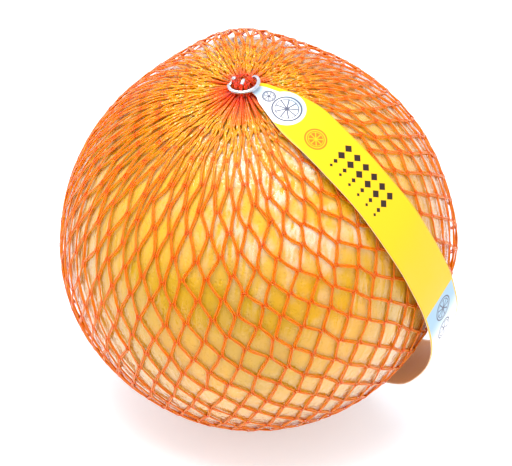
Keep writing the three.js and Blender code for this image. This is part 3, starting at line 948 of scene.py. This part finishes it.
@dataclass
class NetLayout:
    """Where the knots of the net lie.

    A knot has a row, counted down from the upper gather, and a place round the bag. The rows hang
    lower on one side than on the other, the columns of knots wind a little about the fruit, and they
    are wider apart on one side, as on a bag that was pulled over by hand.
    """

    form: FruitForm
    columns: int = 48
    strand: float = 8.3
    net_height: float = 2.0
    bend_start: float = 60.0
    ends: tuple[float, float] = (5.0, 174.0)
    front_knot: tuple[float, float] = (69.3, -88.6)
    hang: float = 20.0
    hang_limits: tuple[float, float] = (0.45, 0.12)
    hang_turn: float = -85.0
    hang_fade: tuple[float, float, float, float] = (0.0, 80.0, 85.0, 172.0)
    winding: float = 20.0
    winding_end: float = 150.0
    straight_spread: float = 35.0
    crowding: float = 0.2
    widest_turn: float = -20.0

    def __post_init__(self) -> None:
        """Works out the bend from the upper gather's axis to the lower one's, and the rows."""
        down = -self.form.top
        self.frame = Frame(self.form.top)
        self.bend_axis = unit(np.cross(down, self.form.bottom))
        self.bend_angle = math.acos(float(down @ self.form.bottom))
        self.radius = self.form.radius + self.net_height
        self.anchor = self._anchor()
        self.rows = self._rows()

    def _turned(self, vectors: np.ndarray, angle: np.ndarray) -> np.ndarray:
        """Vectors turned about the bend's axis, by Rodrigues' formula."""
        axis = self.bend_axis
        cosine, sine = np.cos(angle)[..., None], np.sin(angle)[..., None]
        part = (vectors @ axis)[..., None] * axis
        return vectors * cosine + np.cross(axis, vectors) * sine + part * (1 - cosine)

    def direction(self, polar: np.ndarray, turn: np.ndarray) -> np.ndarray:
        """Unit vectors at a polar angle and an angle round, in radians.

        They are spherical coordinates about the upper gather, turned by a share of the bend that
        grows smoothly from none to all of it towards the lower gather.
        """
        polar, turn = np.broadcast_arrays(polar, turn)
        share = smoothstep(math.radians(self.bend_start), math.pi, polar)
        return self._turned(self.frame.direction(polar, turn), self.bend_angle * share)

    def _shift(self, polar: np.ndarray, turn: np.ndarray) -> np.ndarray:
        """How much higher a row is at an angle round than on average: a sine with held-back peaks."""
        fade_in, full, fading, gone = np.radians(self.hang_fade)
        share = smoothstep(fade_in, full, polar) * (1 - smoothstep(fading, gone, polar))
        wave = np.sin(turn - math.radians(self.hang_turn))
        high, low = self.hang_limits
        held = wave - high * np.maximum(wave, 0) ** 2 + low * np.minimum(wave, 0) ** 2
        return math.radians(self.hang) * share * held

    def _wound(self, polar: np.ndarray, column_turn: np.ndarray) -> np.ndarray:
        """The angle round of a column of knots at a polar angle."""
        from_side = np.degrees((column_turn + math.pi) % TAU - math.pi)
        amount = math.radians(self.winding) * (1 - bell(from_side, self.straight_spread))
        winding = amount * (smoothstep(0, math.radians(self.winding_end), polar) - 0.5)
        widest = math.radians(self.widest_turn)
        return column_turn + self.crowding * np.sin(column_turn - widest) + winding

    def place(self, row_polar: np.ndarray, column_turn: np.ndarray) -> tuple[np.ndarray, np.ndarray]:
        """The polar angle and the angle round of a point of the net.

        Args:
            row_polar: The row's average polar angle, in radians.
            column_turn: The column's angle, in radians, as if the columns were even and straight.
        Returns:
            The two angles for direction().
        """
        turn = self._wound(row_polar, column_turn)
        return row_polar - self._shift(row_polar, turn), turn

    def _anchor(self) -> tuple[float, float]:
        """The row and the column angle of the knot that is told apart on the front."""
        polar, turn = np.radians(self.front_knot)
        row_polar, column_turn = polar, turn
        for _ in range(30):
            row_polar = polar + self._shift(np.array(row_polar), turn)
            column_turn = column_turn + turn - self._wound(row_polar, np.array(column_turn))
        return float(row_polar), float(column_turn)

    def half_width(self, polar: np.ndarray) -> np.ndarray:
        """Half the width of a mesh cell at a polar angle."""
        return math.pi * self.radius * np.sin(polar) / self.columns

    def _rows(self) -> np.ndarray:
        """Average polar angles of the rows of knots, one of them through the knot on the front."""
        rows = [self.anchor[0]]

        def step(polar: float) -> float:
            """The angle to the next row, from the strand's length and the cell's half width."""
            return math.sqrt(self.strand**2 - float(self.half_width(np.array(polar))) ** 2) / self.radius

        while rows[0] - step(rows[0]) > math.radians(self.ends[0]):
            rows.insert(0, rows[0] - step(rows[0]))
        while rows[-1] + step(rows[-1]) < math.radians(self.ends[1]):
            rows.append(rows[-1] + step(rows[-1]))
        return np.array(rows)


@dataclass
class NetBag:
    """The knitted net: pairs of filaments that zigzag between the knots, and gather at both ends.

    Each chain of two filaments runs the whole length of the bag. It swings from one side of its strip
    to the other with every row, and lies against the next chain there for the length of a knot.
    """

    form: FruitForm
    layout: NetLayout
    finish: NetFinish
    seed: int = 41
    pieces: int = 4
    filament: tuple[float, float] = (0.32, 0.27)
    spacing: float = 0.33
    sides: int = 6
    steps: int = 8
    stretch: float = 0.7
    rest_height: float = 1.3
    table: float = 0.02
    pressed: tuple[float, float, float] = (0.15, 0.6, 0.3)
    lowest: float = -9.0
    knot_length: float = 1.3
    knot_play: tuple[float, float] = (0.5, 0.4)
    knot_shade: float = 0.4
    crowded_play: float = 1.6
    crowded_strips: tuple[float, float] = (0.6, 3.0)
    sag: float = 0.22
    twist_swing: float = 0.55
    twist_rates: tuple[float, float] = (0.15, 0.6)
    gather_turn: float = 0.4
    braiding: float = 1.0
    braid_rate: float = 4.5
    wander: float = 0.42
    wander_waves: tuple[float, float] = (1.1, 2.3)
    wander_radii: tuple[float, float] = (30.0, 16.0)
    calm_radii: tuple[float, float] = (4.0, 9.0)
    pleat_chains: float = 3.2
    pleat_depths: tuple[float, float, float] = (0.75, 0.4, 0.08)
    tuft_cut: float = 0.86
    tuft_wobble: float = 0.12
    wrap_radius: float = 0.15
    wrap_turns: float = 1.6
    wrap_steps: int = 14
    wrap_length: float = 1.8
    wrap_lengths: tuple[float, float] = (0.6, 1.1)
    wrap_slant: float = 0.25
    wrap_gap: tuple[float, float] = (0.05, 0.12)
    wrap_shade: float = 0.55
    least_strip: float = 1.5
    dense_radii: tuple[float, float] = (11.0, 4.0)
    taut_radii: tuple[float, float] = (42.0, 18.0)
    taut_widening: float = 0.24
    taut_shares: tuple[float, float] = (0.1, 1.5)
    loose: tuple = (
        ((-0.92, -0.10, -0.36), 1.7, 24.0),
        ((-0.1, 0.47, 0.87), 1.6, 34.0),
        ((0.985, 0.1, -0.1), 3.2, 15.0),
    )
    outer_skirt: tuple = ((30, 1.3), (22, 1.5), (15, 2.2), (10, 3.1), (7.0, 3.9), (6.0, 4.3))
    inner_skirt: tuple = ((30, 1.3), (22, 1.2), (15, 1.2), (10, 1.3), (7.0, 1.5), (6.0, 1.6))
    outer_neck: tuple = ((4.4, 4.9), (3.7, 5.6), (3.7, 6.4), (3.8, 7.4), (3.3, 8.4), (2.3, 9.1), (1.2, 9.4))
    inner_neck: tuple = ((3.2, 2.6), (1.5, 4.2), (1.1, 5.6), (1.0, 7.0), (0.9, 8.3), (0.6, 9.1), (0.3, 9.5))

    def build(self) -> None:
        """Builds the filaments and the wraps round the knots.

        A filament is an ellipse carried along its line, which runs on one side of its chain's middle
        line. The two of a chain change sides as the chain turns about that line.
        """
        material = self.finish.net()
        points, dense, taut = self._chains()
        outward = self.form.outward(points)
        tangent = unit(np.gradient(points, axis=1))
        across = unit(np.cross(outward, tangent))
        draw = np.random.default_rng(self.seed + 1)
        twist = self._twist(draw, points.shape[:2], taut)
        offset = self.spacing * (across * np.cos(twist)[..., None] + outward * np.sin(twist)[..., None])
        pairs = np.stack([points + offset, points - offset], axis=1)
        wider = (1 + self.taut_widening * taut**3)[:, None, :, None]
        side = across[:, None] * self.filament[0] * wider
        rise = outward[:, None] * self.filament[1]
        around = np.linspace(0, -TAU, self.sides, endpoint=False)
        ring = side[..., None, :] * np.cos(around)[:, None] + rise[..., None, :] * np.sin(around)[:, None]
        tubes = self._above_table(pairs[..., None, :] + ring)
        tension = draw.uniform(*self.taut_shares, (*pairs.shape[:2], 1)) * taut[:, None]
        dense = np.broadcast_to(dense[:, None, :, None], tubes.shape[:-1])
        tension = np.broadcast_to(tension[..., None], tubes.shape[:-1])
        chains = len(tubes)
        for k in range(self.pieces):
            part = slice(k * chains // self.pieces, (k + 1) * chains // self.pieces)
            maker = MeshMaker()
            maker.closed_rings(tubes[part], dense=dense[part], taut=tension[part])
            settle(maker.finish(f"net_strands_{k + 1}"), material, Slot.NET, "net_bag")
        self._wraps(material)

    def _above_table(self, points: np.ndarray) -> np.ndarray:
        """The points, pressed flat where they would go below the table."""
        height = points[..., 2:]
        share, depth, highest = self.pressed
        pressed = self.table + share * np.maximum(height - self.table + depth, 0)
        return np.concatenate([points[..., :2], np.maximum(height, np.minimum(pressed, highest))], axis=-1)

    def _twist(self, draw: np.random.Generator, shape: tuple[int, int], taut: np.ndarray) -> np.ndarray:
        """How far each pair has turned about its own line: a slow seeded wave, steeper in the gathers."""
        chains, count = shape
        station = np.arange(count)[None, :] / self.steps
        rate = draw.uniform(*self.twist_rates, (chains, 1))
        phase = draw.uniform(0, TAU, (chains, 1))
        braid = np.sin(TAU * self.braid_rate * rate * station + 2 * phase) * self.braiding
        return self.twist_swing * np.sin(TAU * rate * station + phase) + (self.gather_turn + braid) * taut

    def _knots(self) -> tuple[np.ndarray, np.ndarray, np.ndarray]:
        """Row angle, column angle and strip width for each row and each half column.

        Returns:
            Arrays of (rows, 2 * columns): the seeded row and column angles, in radians, and the width
            of a strip between two lines of knots, in millimetres.
        """
        layout = self.layout
        draw = np.random.default_rng(self.seed)
        lines = 2 * layout.columns
        rows = layout.rows[:, None]
        strip = np.broadcast_to(np.maximum(layout.half_width(rows), 0.05), (len(rows), lines))
        free = smoothstep(*self.crowded_strips, strip)
        anchor_row = int(np.argmin(abs(layout.rows - layout.anchor[0])))
        sideways = draw.normal(0, self.knot_play[0], strip.shape) * free / (layout.radius * np.sin(rows))
        play = self.knot_play[1] * free + self.crowded_play * (1 - free)
        play = np.minimum(play, 0.3 * rows * layout.radius)
        lengthways = draw.normal(0, 1, strip.shape) * play / layout.radius
        half_pitch = math.pi / layout.columns
        turn = layout.anchor[1] + (np.arange(lines)[None, :] - anchor_row % 2) * half_pitch
        return rows + lengthways, turn + sideways, strip

    def _chains(self) -> tuple[np.ndarray, np.ndarray, np.ndarray]:
        """The middle lines of all chains, from tuft to tuft.

        A chain c lies between lines c and c + 1. At a row i it is at line c + (i + c) mod 2, so that it
        meets the chain on its other side there. Between rows it crosses its strip by an eased step.

        Returns:
            Points (chains, stations, 3), and how dense and how taut the yarn is there, from 0 to 1.
        """
        polar, turn, strip = self._knots()
        layout = self.layout
        rows, lines = polar.shape
        chain = np.arange(lines)[:, None]
        row = np.arange(rows)[None, :]
        side = (row + chain) % 2
        line = (chain + side) % lines
        whole_turn = np.where(chain + side >= lines, TAU, 0.0)
        knot_polar = polar[row, line]
        width = strip[row, line]
        around = layout.radius * np.sin(layout.rows)[None, :]
        inset = np.minimum(self.spacing + self.filament[0], 0.3 * width) / around
        knot_turn = turn[row, line] + whole_turn + np.where(side == 0, inset, -inset)
        share = np.arange(self.steps) / self.steps
        step = np.diff(layout.rows)[None, :, None] * layout.radius
        held = np.clip(self.knot_length / 2 / step, 0.05, 0.35)
        cross = np.clip((share - held) / (1 - 2 * held), 0, 1)
        cross = 0.95 * cross + 0.05 * smoothstep(0, 1, cross)
        draw = np.random.default_rng(self.seed + 2)
        bow = draw.normal(0, 1, (lines, rows - 1, 1)) * np.sin(math.pi * share) * self.sag
        bow = bow * smoothstep(*self.crowded_strips, width[:, :-1, None]) / around[:, :-1, None]

        def between(start: np.ndarray, part: np.ndarray) -> np.ndarray:
            """Values from each knot to the next, by a share."""
            inner = start[:, :-1, None] * (1 - part) + start[:, 1:, None] * part
            return inner.reshape(lines, -1)

        net_polar = np.hstack([between(knot_polar, share), knot_polar[:, -1:]])
        net_turn = np.hstack([between(knot_turn, cross) + bow.reshape(lines, -1), knot_turn[:, -1:]])
        near_knot = np.clip(1.5 * (abs(share - 0.5) * 2) ** 3 - 0.3, 0, 1) * self.knot_shade
        dense = np.broadcast_to(near_knot, (lines, rows - 1, self.steps)).reshape(lines, -1)
        dense = np.hstack([dense, dense[:, :1]])
        depth = self._depth()
        from_top, from_low = net_polar * layout.radius, (math.pi - net_polar) * layout.radius
        from_gather = np.minimum(from_top, from_low)
        height = np.maximum(self._skirt(from_top, depth), self._skirt(from_low, depth))
        dense = np.maximum(dense, self._nearness(from_gather, self.dense_radii))
        taut = self._nearness(from_gather, self.taut_radii)
        net_turn = net_turn + self._wandering(from_gather)
        points = self._place(*layout.place(net_polar, net_turn), height)
        top = self._neck(*layout.place(net_polar[:, :1], net_turn[:, :1]), depth, True)[:, ::-1]
        low = self._neck(*layout.place(net_polar[:, -1:], net_turn[:, -1:]), depth, False)
        full = np.ones((lines, top.shape[1]))
        points = np.concatenate([top, points, low], axis=1)
        return points, np.hstack([full, dense, full]), np.hstack([full, taut, full])

    @staticmethod
    def _nearness(radius: np.ndarray, radii: tuple[float, float]) -> np.ndarray:
        """Zero beyond the wider of two distances from a gather, and one within the narrower."""
        return smoothstep(-radii[0], -radii[1], -radius)

    def _wandering(self, radius: np.ndarray) -> np.ndarray:
        """How far round each chain strays near a gather: two seeded waves that die out at the knots."""
        draw = np.random.default_rng(self.seed + 7)
        phase = draw.uniform(0, TAU, (2, len(radius), 1))
        short, long = self.wander_waves
        waves = np.sin(radius / short + phase[0]) + np.sin(radius / long + phase[1])
        share = self._nearness(radius, self.wander_radii) * smoothstep(*self.calm_radii, radius)
        return 0.5 * self.wander * waves * share / np.maximum(radius, self.calm_radii[0])

    def _depth(self) -> np.ndarray:
        """How deep each chain lies in a gather, from 0 on top to 1: a pleat's wave and a seeded part."""
        lines = 2 * self.layout.columns
        draw = np.random.default_rng(self.seed + 3)
        wave = 0.5 - 0.5 * np.cos(TAU * np.arange(lines) / self.pleat_chains)
        pleat, chance, less = self.pleat_depths
        return np.clip(pleat * wave + chance * draw.uniform(0, 1, lines) - less, 0, 1)[:, None]

    def _skirt(self, radius: np.ndarray, depth: np.ndarray) -> np.ndarray:
        """Height of the yarn at a distance from a gather: between the pile's top and its underside."""
        heights = []
        for profile in (self.outer_skirt, self.inner_skirt):
            known, level = np.array(profile[::-1]).T
            heights.append(np.interp(radius, known, level))
        return heights[0] * (1 - depth) + heights[1] * depth

    def _neck(self, polar: np.ndarray, turn: np.ndarray, depth: np.ndarray, at_top: bool) -> np.ndarray:
        """The stations of a neck and its tuft, from the fruit outwards, cut off at uneven heights."""
        draw = np.random.default_rng(self.seed + (4 if at_top else 5))
        outer, inner = np.array(self.outer_neck), np.array(self.inner_neck)
        known = np.linspace(0, 1, len(outer))
        cut = draw.uniform(self.tuft_cut, 1.0, (len(turn), 1))
        wanted = np.linspace(0, 1, len(outer) * 2)[None, :] * cut

        def read(column: int) -> np.ndarray:
            """A column of the two profiles, mixed by how deep the chain lies."""
            parts = [np.interp(wanted, known, profile[:, column]) for profile in (outer, inner)]
            return parts[0] * (1 - depth) + parts[1] * depth

        wobble = draw.normal(0, self.tuft_wobble, (len(turn), 1)) * np.sin(math.pi * wanted)
        angle = read(0) / self.form.radius
        return self._place(angle if at_top else math.pi - angle, turn + wobble, read(1))

    def _place(self, polar: np.ndarray, turn: np.ndarray, height: np.ndarray) -> np.ndarray:
        """Points of the net at a height over the peel, and more where the net hangs loose."""
        direction = self.layout.direction(polar, turn)
        for towards, lift, spread in self.loose:
            height = height + lift * bell(degrees_from(direction, towards), spread)
        return self.form.place(direction, height, stretch=self.stretch, floor=self.lowest)

    def _wraps(self, material: bpy.types.Material) -> None:
        """The short coils that hold two chains together at each knot.

        A coil is an ellipse round the four filaments, drawn out along the knot by less than the
        knot's length as it turns.
        """
        polar, turn, strip = self._knots()
        rows, lines = polar.shape
        parity = (np.arange(rows)[:, None] + np.arange(lines)[None, :]) % 2 == 0
        chosen = parity & (strip > self.least_strip)
        polar, turn = polar[chosen], turn[chosen]
        draw = np.random.default_rng(self.seed + 6)
        count = len(polar)
        level = np.full(count, self.rest_height)
        middle = self._place(*self.layout.place(polar, turn), level)
        ahead = self._place(*self.layout.place(polar + 0.004, turn), level)
        outward = self.form.outward(middle)[:, None]
        tangent = unit(ahead - middle)[:, None]
        across = unit(np.cross(outward, tangent))
        angle = np.linspace(0, self.wrap_turns * TAU, self.wrap_steps)[None, :]
        angle = angle + draw.uniform(0, TAU, (count, 1))
        cosine, sine = np.cos(angle), np.sin(angle)
        beside, above = self.wrap_gap
        lateral = cosine * (2 * self.spacing + self.filament[0] + beside)
        lengths = draw.uniform(*self.wrap_lengths, (count, 1))
        drawn = np.linspace(-0.5, 0.5, self.wrap_steps)[None, :] * lengths
        lengthways = drawn * self.wrap_length + draw.normal(0, self.wrap_slant, (count, 1)) * lateral
        rise = sine * (self.filament[1] + above)
        path = middle[:, None] + across * lateral[..., None] + tangent * lengthways[..., None]
        path = path + outward * rise[..., None]
        radial = unit(across * cosine[..., None] + outward * sine[..., None] * 2)
        around = np.linspace(0, TAU, 4, endpoint=False)[:, None]
        ring = radial[..., None, :] * np.cos(around) + tangent[..., None, :] * np.sin(around)
        tubes = self._above_table(path[..., None, :] + ring * self.wrap_radius)
        shade = np.full(tubes.shape[:-1], self.wrap_shade)
        maker = MeshMaker()
        maker.closed_rings(tubes, dense=shade, taut=shade * 0)
        settle(maker.finish("net_knots"), material, Slot.NET, "net_bag")


@dataclass
class LabelBand:
    """The printed band: flat across, pointed at both ends, from one clip to the other."""

    form: FruitForm
    finish: LabelFinish
    width: float = 20.3
    widening: float = 0.07
    widening_stretch: tuple[float, float] = (55.0, 90.0)
    tip_width: float = 5.4
    taper: float = 27.0
    thickness: float = 0.28
    steps: int = 420
    columns: int = 24
    net_top: float = 2.8
    rest_gap: float = 0.4
    stretch: float = 1.0
    end_radius: float = 5.2
    end_rise: float = 0.5
    flutter: tuple = (Unevenness(30, 21), 0.25)
    flutter_start: tuple[float, float] = (4.0, 30.0)
    lift: float = 0.15
    route: tuple = (
        (2.9, -4, 1.9),
        (5.3, -11, 1.0),
        (8, -20, 0.5),
        (13, -27.5, 0.2),
        (24, -33.5, 0.2),
        (41, -35.5, 0.2),
        (60, -34.5, 0.2),
        (78, -31.8, 0.4),
        (91, -29.5, 1.7),
        (103, -27.5, 4.0),
        (114, -26.5, 5.0),
        (125, -24, 4.6),
        (136, -17, 3.7),
        (147, -4, 2.4),
        (156, 20, 1.0),
    )

    def _line(self) -> np.ndarray:
        """The middle of the band's inner face, evenly from tip to tip."""
        polar, turn, rise = np.array(self.route, float).T
        direction = Frame(self.form.top).direction(np.radians(polar), np.radians(turn))
        level = self.net_top + self.rest_gap
        points = self.form.place(direction, level + rise, stretch=self.stretch)
        last = unit(points[-1] - self.form.centre)
        inward = unit(last - self.form.bottom)
        over_end = np.full(1, level + self.end_rise)
        end = self.form.place(self.form.bottom[None], over_end, stretch=self.stretch)
        return smooth_line(np.vstack([points, end + inward * self.end_radius]), self.steps)

    def build(self) -> None:
        """Builds the band as a thin closed strip, printed on its outer face.

        Its half width follows a quarter sine from each tip, and its long edges flutter by an uneven
        field times the square of the place across. Its map runs with it, along and across.
        """
        line = self._line()
        step = np.linalg.norm(np.diff(line, axis=0), axis=1)
        along = np.concatenate([[0], np.cumsum(step)])
        length = along[-1]
        tangent = unit(np.gradient(line, axis=0))
        outward = self.form.outward(line)
        across = unit(np.cross(outward, tangent))
        upward = np.cross(tangent, across)
        share = np.minimum(np.minimum(along, length - along) / self.taper, 1)
        wide = self.width * (1 + self.widening * smoothstep(*self.widening_stretch, along))
        half = (self.tip_width + (wide - self.tip_width) * np.sin(math.pi / 2 * share)) / 2
        side = np.linspace(-1, 1, self.columns)[None, :, None]
        face = line[:, None] + across[:, None] * half[:, None, None] * side
        unevenness, depth = self.flutter
        growth = smoothstep(*self.flutter_start, along)[:, None]
        wave = unevenness.at(face) * depth * side[..., 0] ** 2 * growth
        face = face + upward[:, None] * (wave[..., None] + self.lift)
        outer = face + upward[:, None] * self.thickness
        map_along = np.broadcast_to((along / length)[:, None], face.shape[:2])
        map_across = 0.5 + 0.5 * side[..., 0] * (half / half.max())[:, None]
        chart = np.stack([map_along, np.broadcast_to(map_across, face.shape[:2])], axis=-1)
        ring = np.concatenate([outer, face[:, ::-1]], axis=1)
        rings_chart = np.concatenate([chart, chart[:, ::-1]], axis=1)
        maker = MeshMaker()
        maker.closed_rings(ring[:, ::-1], band=rings_chart[:, ::-1])
        piece = maker.finish("band_strip")
        settle(piece, self.finish.band(length, self.width), Slot.LABEL, "label_band")
        piece.data.materials.append(self.finish.back())
        self._face_sides(piece)
        log.info("band length %.1f mm", length)

    def _face_sides(self, piece: bpy.types.Object) -> None:
        """Gives the inner face and the edges the unprinted material."""
        mesh = piece.data
        count = len(mesh.polygons)
        around = 2 * self.columns
        quads = (self.steps - 1) * around
        column = np.arange(quads) % around
        inner = (column < self.columns) | (column == around - 1)
        slots = np.concatenate([inner.astype(np.int32), np.ones(count - quads, np.int32)])
        mesh.polygons.foreach_set("material_index", slots)


@dataclass
class WireClip:
    """A wire clip closed round a gather, with both ends curled into the bunch."""

    form: FruitForm
    finish: WireFinish
    name: str
    node: str
    axis: np.ndarray
    diameter: float = 1.5
    height: float = 7.0
    sides: int = 20
    steps: int = 220
    stretch: float = 1.0
    rounding: float = 3.0
    pinches: tuple[float, float] = (0.2, 0.8)
    pinch_depth: float = 0.1
    pinch_spread: float = 0.02
    bow: tuple = (
        (-2.5, 0.0, 2.2),
        (-2.9, 0.9, 2.1),
        (-3.3, 1.5, 1.2),
        (-3.9, 1.3, -0.6),
        (-4.9, 0.4, -0.9),
        (-4.9, -0.9, 0.0),
        (-4.1, -2.64, 0.0),
        (-2.7, -3.8, 0.0),
        (-0.9, -4.3, 0.0),
        (1.2, -4.2, 0.0),
        (3.0, -3.4, 0.0),
        (4.4, -2.2, 0.0),
        (5.4, -0.45, 0.0),
        (5.6, 1.1, 0.1),
        (5.1, 2.6, 0.2),
        (4.2, 3.5, -0.2),
        (2.9, 3.4, -1.6),
        (1.8, 2.0, -1.0),
        (1.0, 0.2, 1.4),
        (0.4, -1.1, 2.5),
        (-0.3, -2.8, 1.9),
    )

    def build(self) -> None:
        """Builds the wire: a circle carried along the bow, pinched twice and rounded at its cut ends."""
        across = unit(np.array([1.0, 0, 0]) - self.axis * self.axis[0])
        along = np.cross(self.axis, across)
        middle = self.form.place(self.axis[None], np.full(1, self.height), stretch=self.stretch)
        bow = np.array(self.bow)
        line = smooth_line(middle + bow @ np.stack([across, along, self.axis]), self.steps)
        tangent = unit(np.gradient(line, axis=0))
        inward = unit(np.cross(self.axis, tangent))
        upward = np.cross(tangent, inward)
        share = np.linspace(0, 1, self.steps)
        from_end = np.minimum(share, 1 - share) * self.steps
        blunt = np.sqrt(np.clip(1 - (1 - np.clip(from_end / self.rounding, 0, 1)) ** 2, 0.12, 1))
        pinch = 1 - self.pinch_depth * sum(bell(share - at, self.pinch_spread) for at in self.pinches)
        radius = self.diameter / 2 * blunt * pinch
        around = np.linspace(0, TAU, self.sides, endpoint=False)
        ring = inward[:, None] * np.cos(around)[:, None] + upward[:, None] * np.sin(around)[:, None]
        maker = MeshMaker()
        maker.closed_rings(line[:, None] + ring * radius[:, None, None])
        settle(maker.finish(self.name), self.finish.wire(), Slot.WIRE, self.node)


@dataclass(frozen=True)
class Softbox:
    """A rectangular soft light, with its place, width and height in millimetres."""

    name: str
    at: tuple[float, float, float]
    size: tuple[float, float]
    watts: float
    colour: tuple[float, float, float]

    def build(self, target: Vector) -> None:
        """Builds the light, facing a target in metres."""
        data = bpy.data.lights.new(self.name, "AREA")
        data.shape = "RECTANGLE"
        data.size, data.size_y = (side * MM for side in self.size)
        data.energy = self.watts
        data.color = self.colour
        lamp = bpy.data.objects.new(self.name, data)
        lamp.location = Vector(self.at) * MM
        lamp.rotation_euler = (target - lamp.location).to_track_quat("-Z", "Y").to_euler()
        bpy.context.scene.collection.objects.link(lamp)


@dataclass
class Studio:
    """The white table, the soft lights and the camera at the photograph's place."""

    form: FruitForm
    image: tuple[int, int] = (512, 466)
    elevation: float = 28.0
    distance_mm: float = 900.0
    focal_pixels: float = 2367.7
    sensor_mm: float = 36.0
    middle_pixel: tuple[float, float] = (257.0, 236.5)
    view_end_m: float = 50.0
    floor_half_mm: float = 4000.0
    floor_cells: int = 8
    flag_half_mm: float = 1500.0
    flag_stretch_mm: tuple[float, float] = (-2500.0, -190.0)
    flag_level_mm: float = 1.0
    flag_finish: FloorFinish = FloorFinish("flag_black", (0.004, 0.004, 0.004, 1.0), glow=0.0)
    world: tuple = (0.86, 0.9, 0.98, 1.0)
    world_strength: float = 1.12
    lamps: tuple[Softbox, ...] = (
        Softbox("overhead_softbox", (-190, -330, 1210), (760, 540), 16.0, (1.0, 0.99, 0.97)),
        Softbox("front_panel", (750, -1855, 570), (2400, 850), 4.5, (1.0, 1.0, 1.0)),
    )

    def build(self) -> None:
        """Builds the table, the camera and the lights."""
        self._camera()
        self._floor()
        self._dark_flag()
        self._world()
        for lamp in self.lamps:
            lamp.build(Vector(self.form.centre * MM))

    def _camera(self) -> None:
        """The camera looks at the middle of the fruit, which lies a little off the picture's middle."""
        width, height = self.image
        data = bpy.data.cameras.new("camera")
        data.sensor_width = self.sensor_mm
        data.lens = self.focal_pixels * self.sensor_mm / width
        data.shift_x = -(self.middle_pixel[0] - width / 2) / width
        data.shift_y = (self.middle_pixel[1] - height / 2) / width
        data.clip_end = self.view_end_m
        angle = math.radians(self.elevation)
        back = Vector((0, -math.cos(angle), math.sin(angle)))
        camera = bpy.data.objects.new("camera", data)
        camera.location = Vector(self.form.centre * MM) + back * self.distance_mm * MM
        camera.rotation_euler = (-back).to_track_quat("-Z", "Y").to_euler()
        bpy.context.scene.collection.objects.link(camera)
        bpy.context.scene.camera = camera

    def _floor(self) -> None:
        """A wide flat sheet at the table's level."""
        edge = np.linspace(-self.floor_half_mm, self.floor_half_mm, self.floor_cells + 1)
        floor = self._flat("table_top", edge, edge, 0.0, FloorFinish())

    def _dark_flag(self) -> None:
        """A black flag that lies before the table's front edge, and that only reflections show."""
        across = (-self.flag_half_mm, self.flag_half_mm)
        sheet = self._flat("dark_flag", across, self.flag_stretch_mm, self.flag_level_mm, self.flag_finish)
        sheet.visible_camera = sheet.visible_diffuse = False
        sheet.visible_shadow = sheet.visible_transmission = False

    @staticmethod
    def _flat(
        name: str, across: np.ndarray | tuple, back: np.ndarray | tuple, level: float, finish: FloorFinish
    ) -> bpy.types.Object:
        """A level sheet of quads between places across and places towards the back.

        Args:
            name: The sheet's name.
            across: The places of its edges and seams in x, in millimetres.
            back: Those in y.
            level: Its height.
            finish: Its finish.
        Returns:
            The sheet.
        """
        x, y = np.meshgrid(across, back, indexing="ij")
        maker = MeshMaker()
        maker.sheet(np.stack([x, y, np.full_like(x, level)], axis=-1))
        sheet = maker.finish(name)
        sheet.data.materials.append(finish.floor())
        return sheet

    def _world(self) -> None:
        """An even, pale surround."""
        world = bpy.data.worlds.new("surround")
        world.use_nodes = True
        background = world.node_tree.nodes["Background"]
        background.inputs["Color"].default_value = self.world
        background.inputs["Strength"].default_value = self.world_strength
        bpy.context.scene.world = world
        bpy.context.scene.view_settings.view_transform = "Standard"


def main() -> None:
    """Builds the pieces in order, from the fruit outwards."""
    logging.basicConfig(level=logging.INFO, format="%(name)s: %(message)s")
    form = FruitForm()
    Studio(form).build()
    Fruit(form, PeelFinish()).build()
    FilmWrap(form, FilmFinish()).build()
    NetBag(form, NetLayout(form), NetFinish()).build()
    LabelBand(form, LabelFinish()).build()
    WireClip(form, WireFinish(), "upper_clip", "top_clip", form.top).build()
    WireClip(form, WireFinish(), "lower_clip", "bottom_clip", form.bottom).build()


if __name__ == "__main__":
    main()
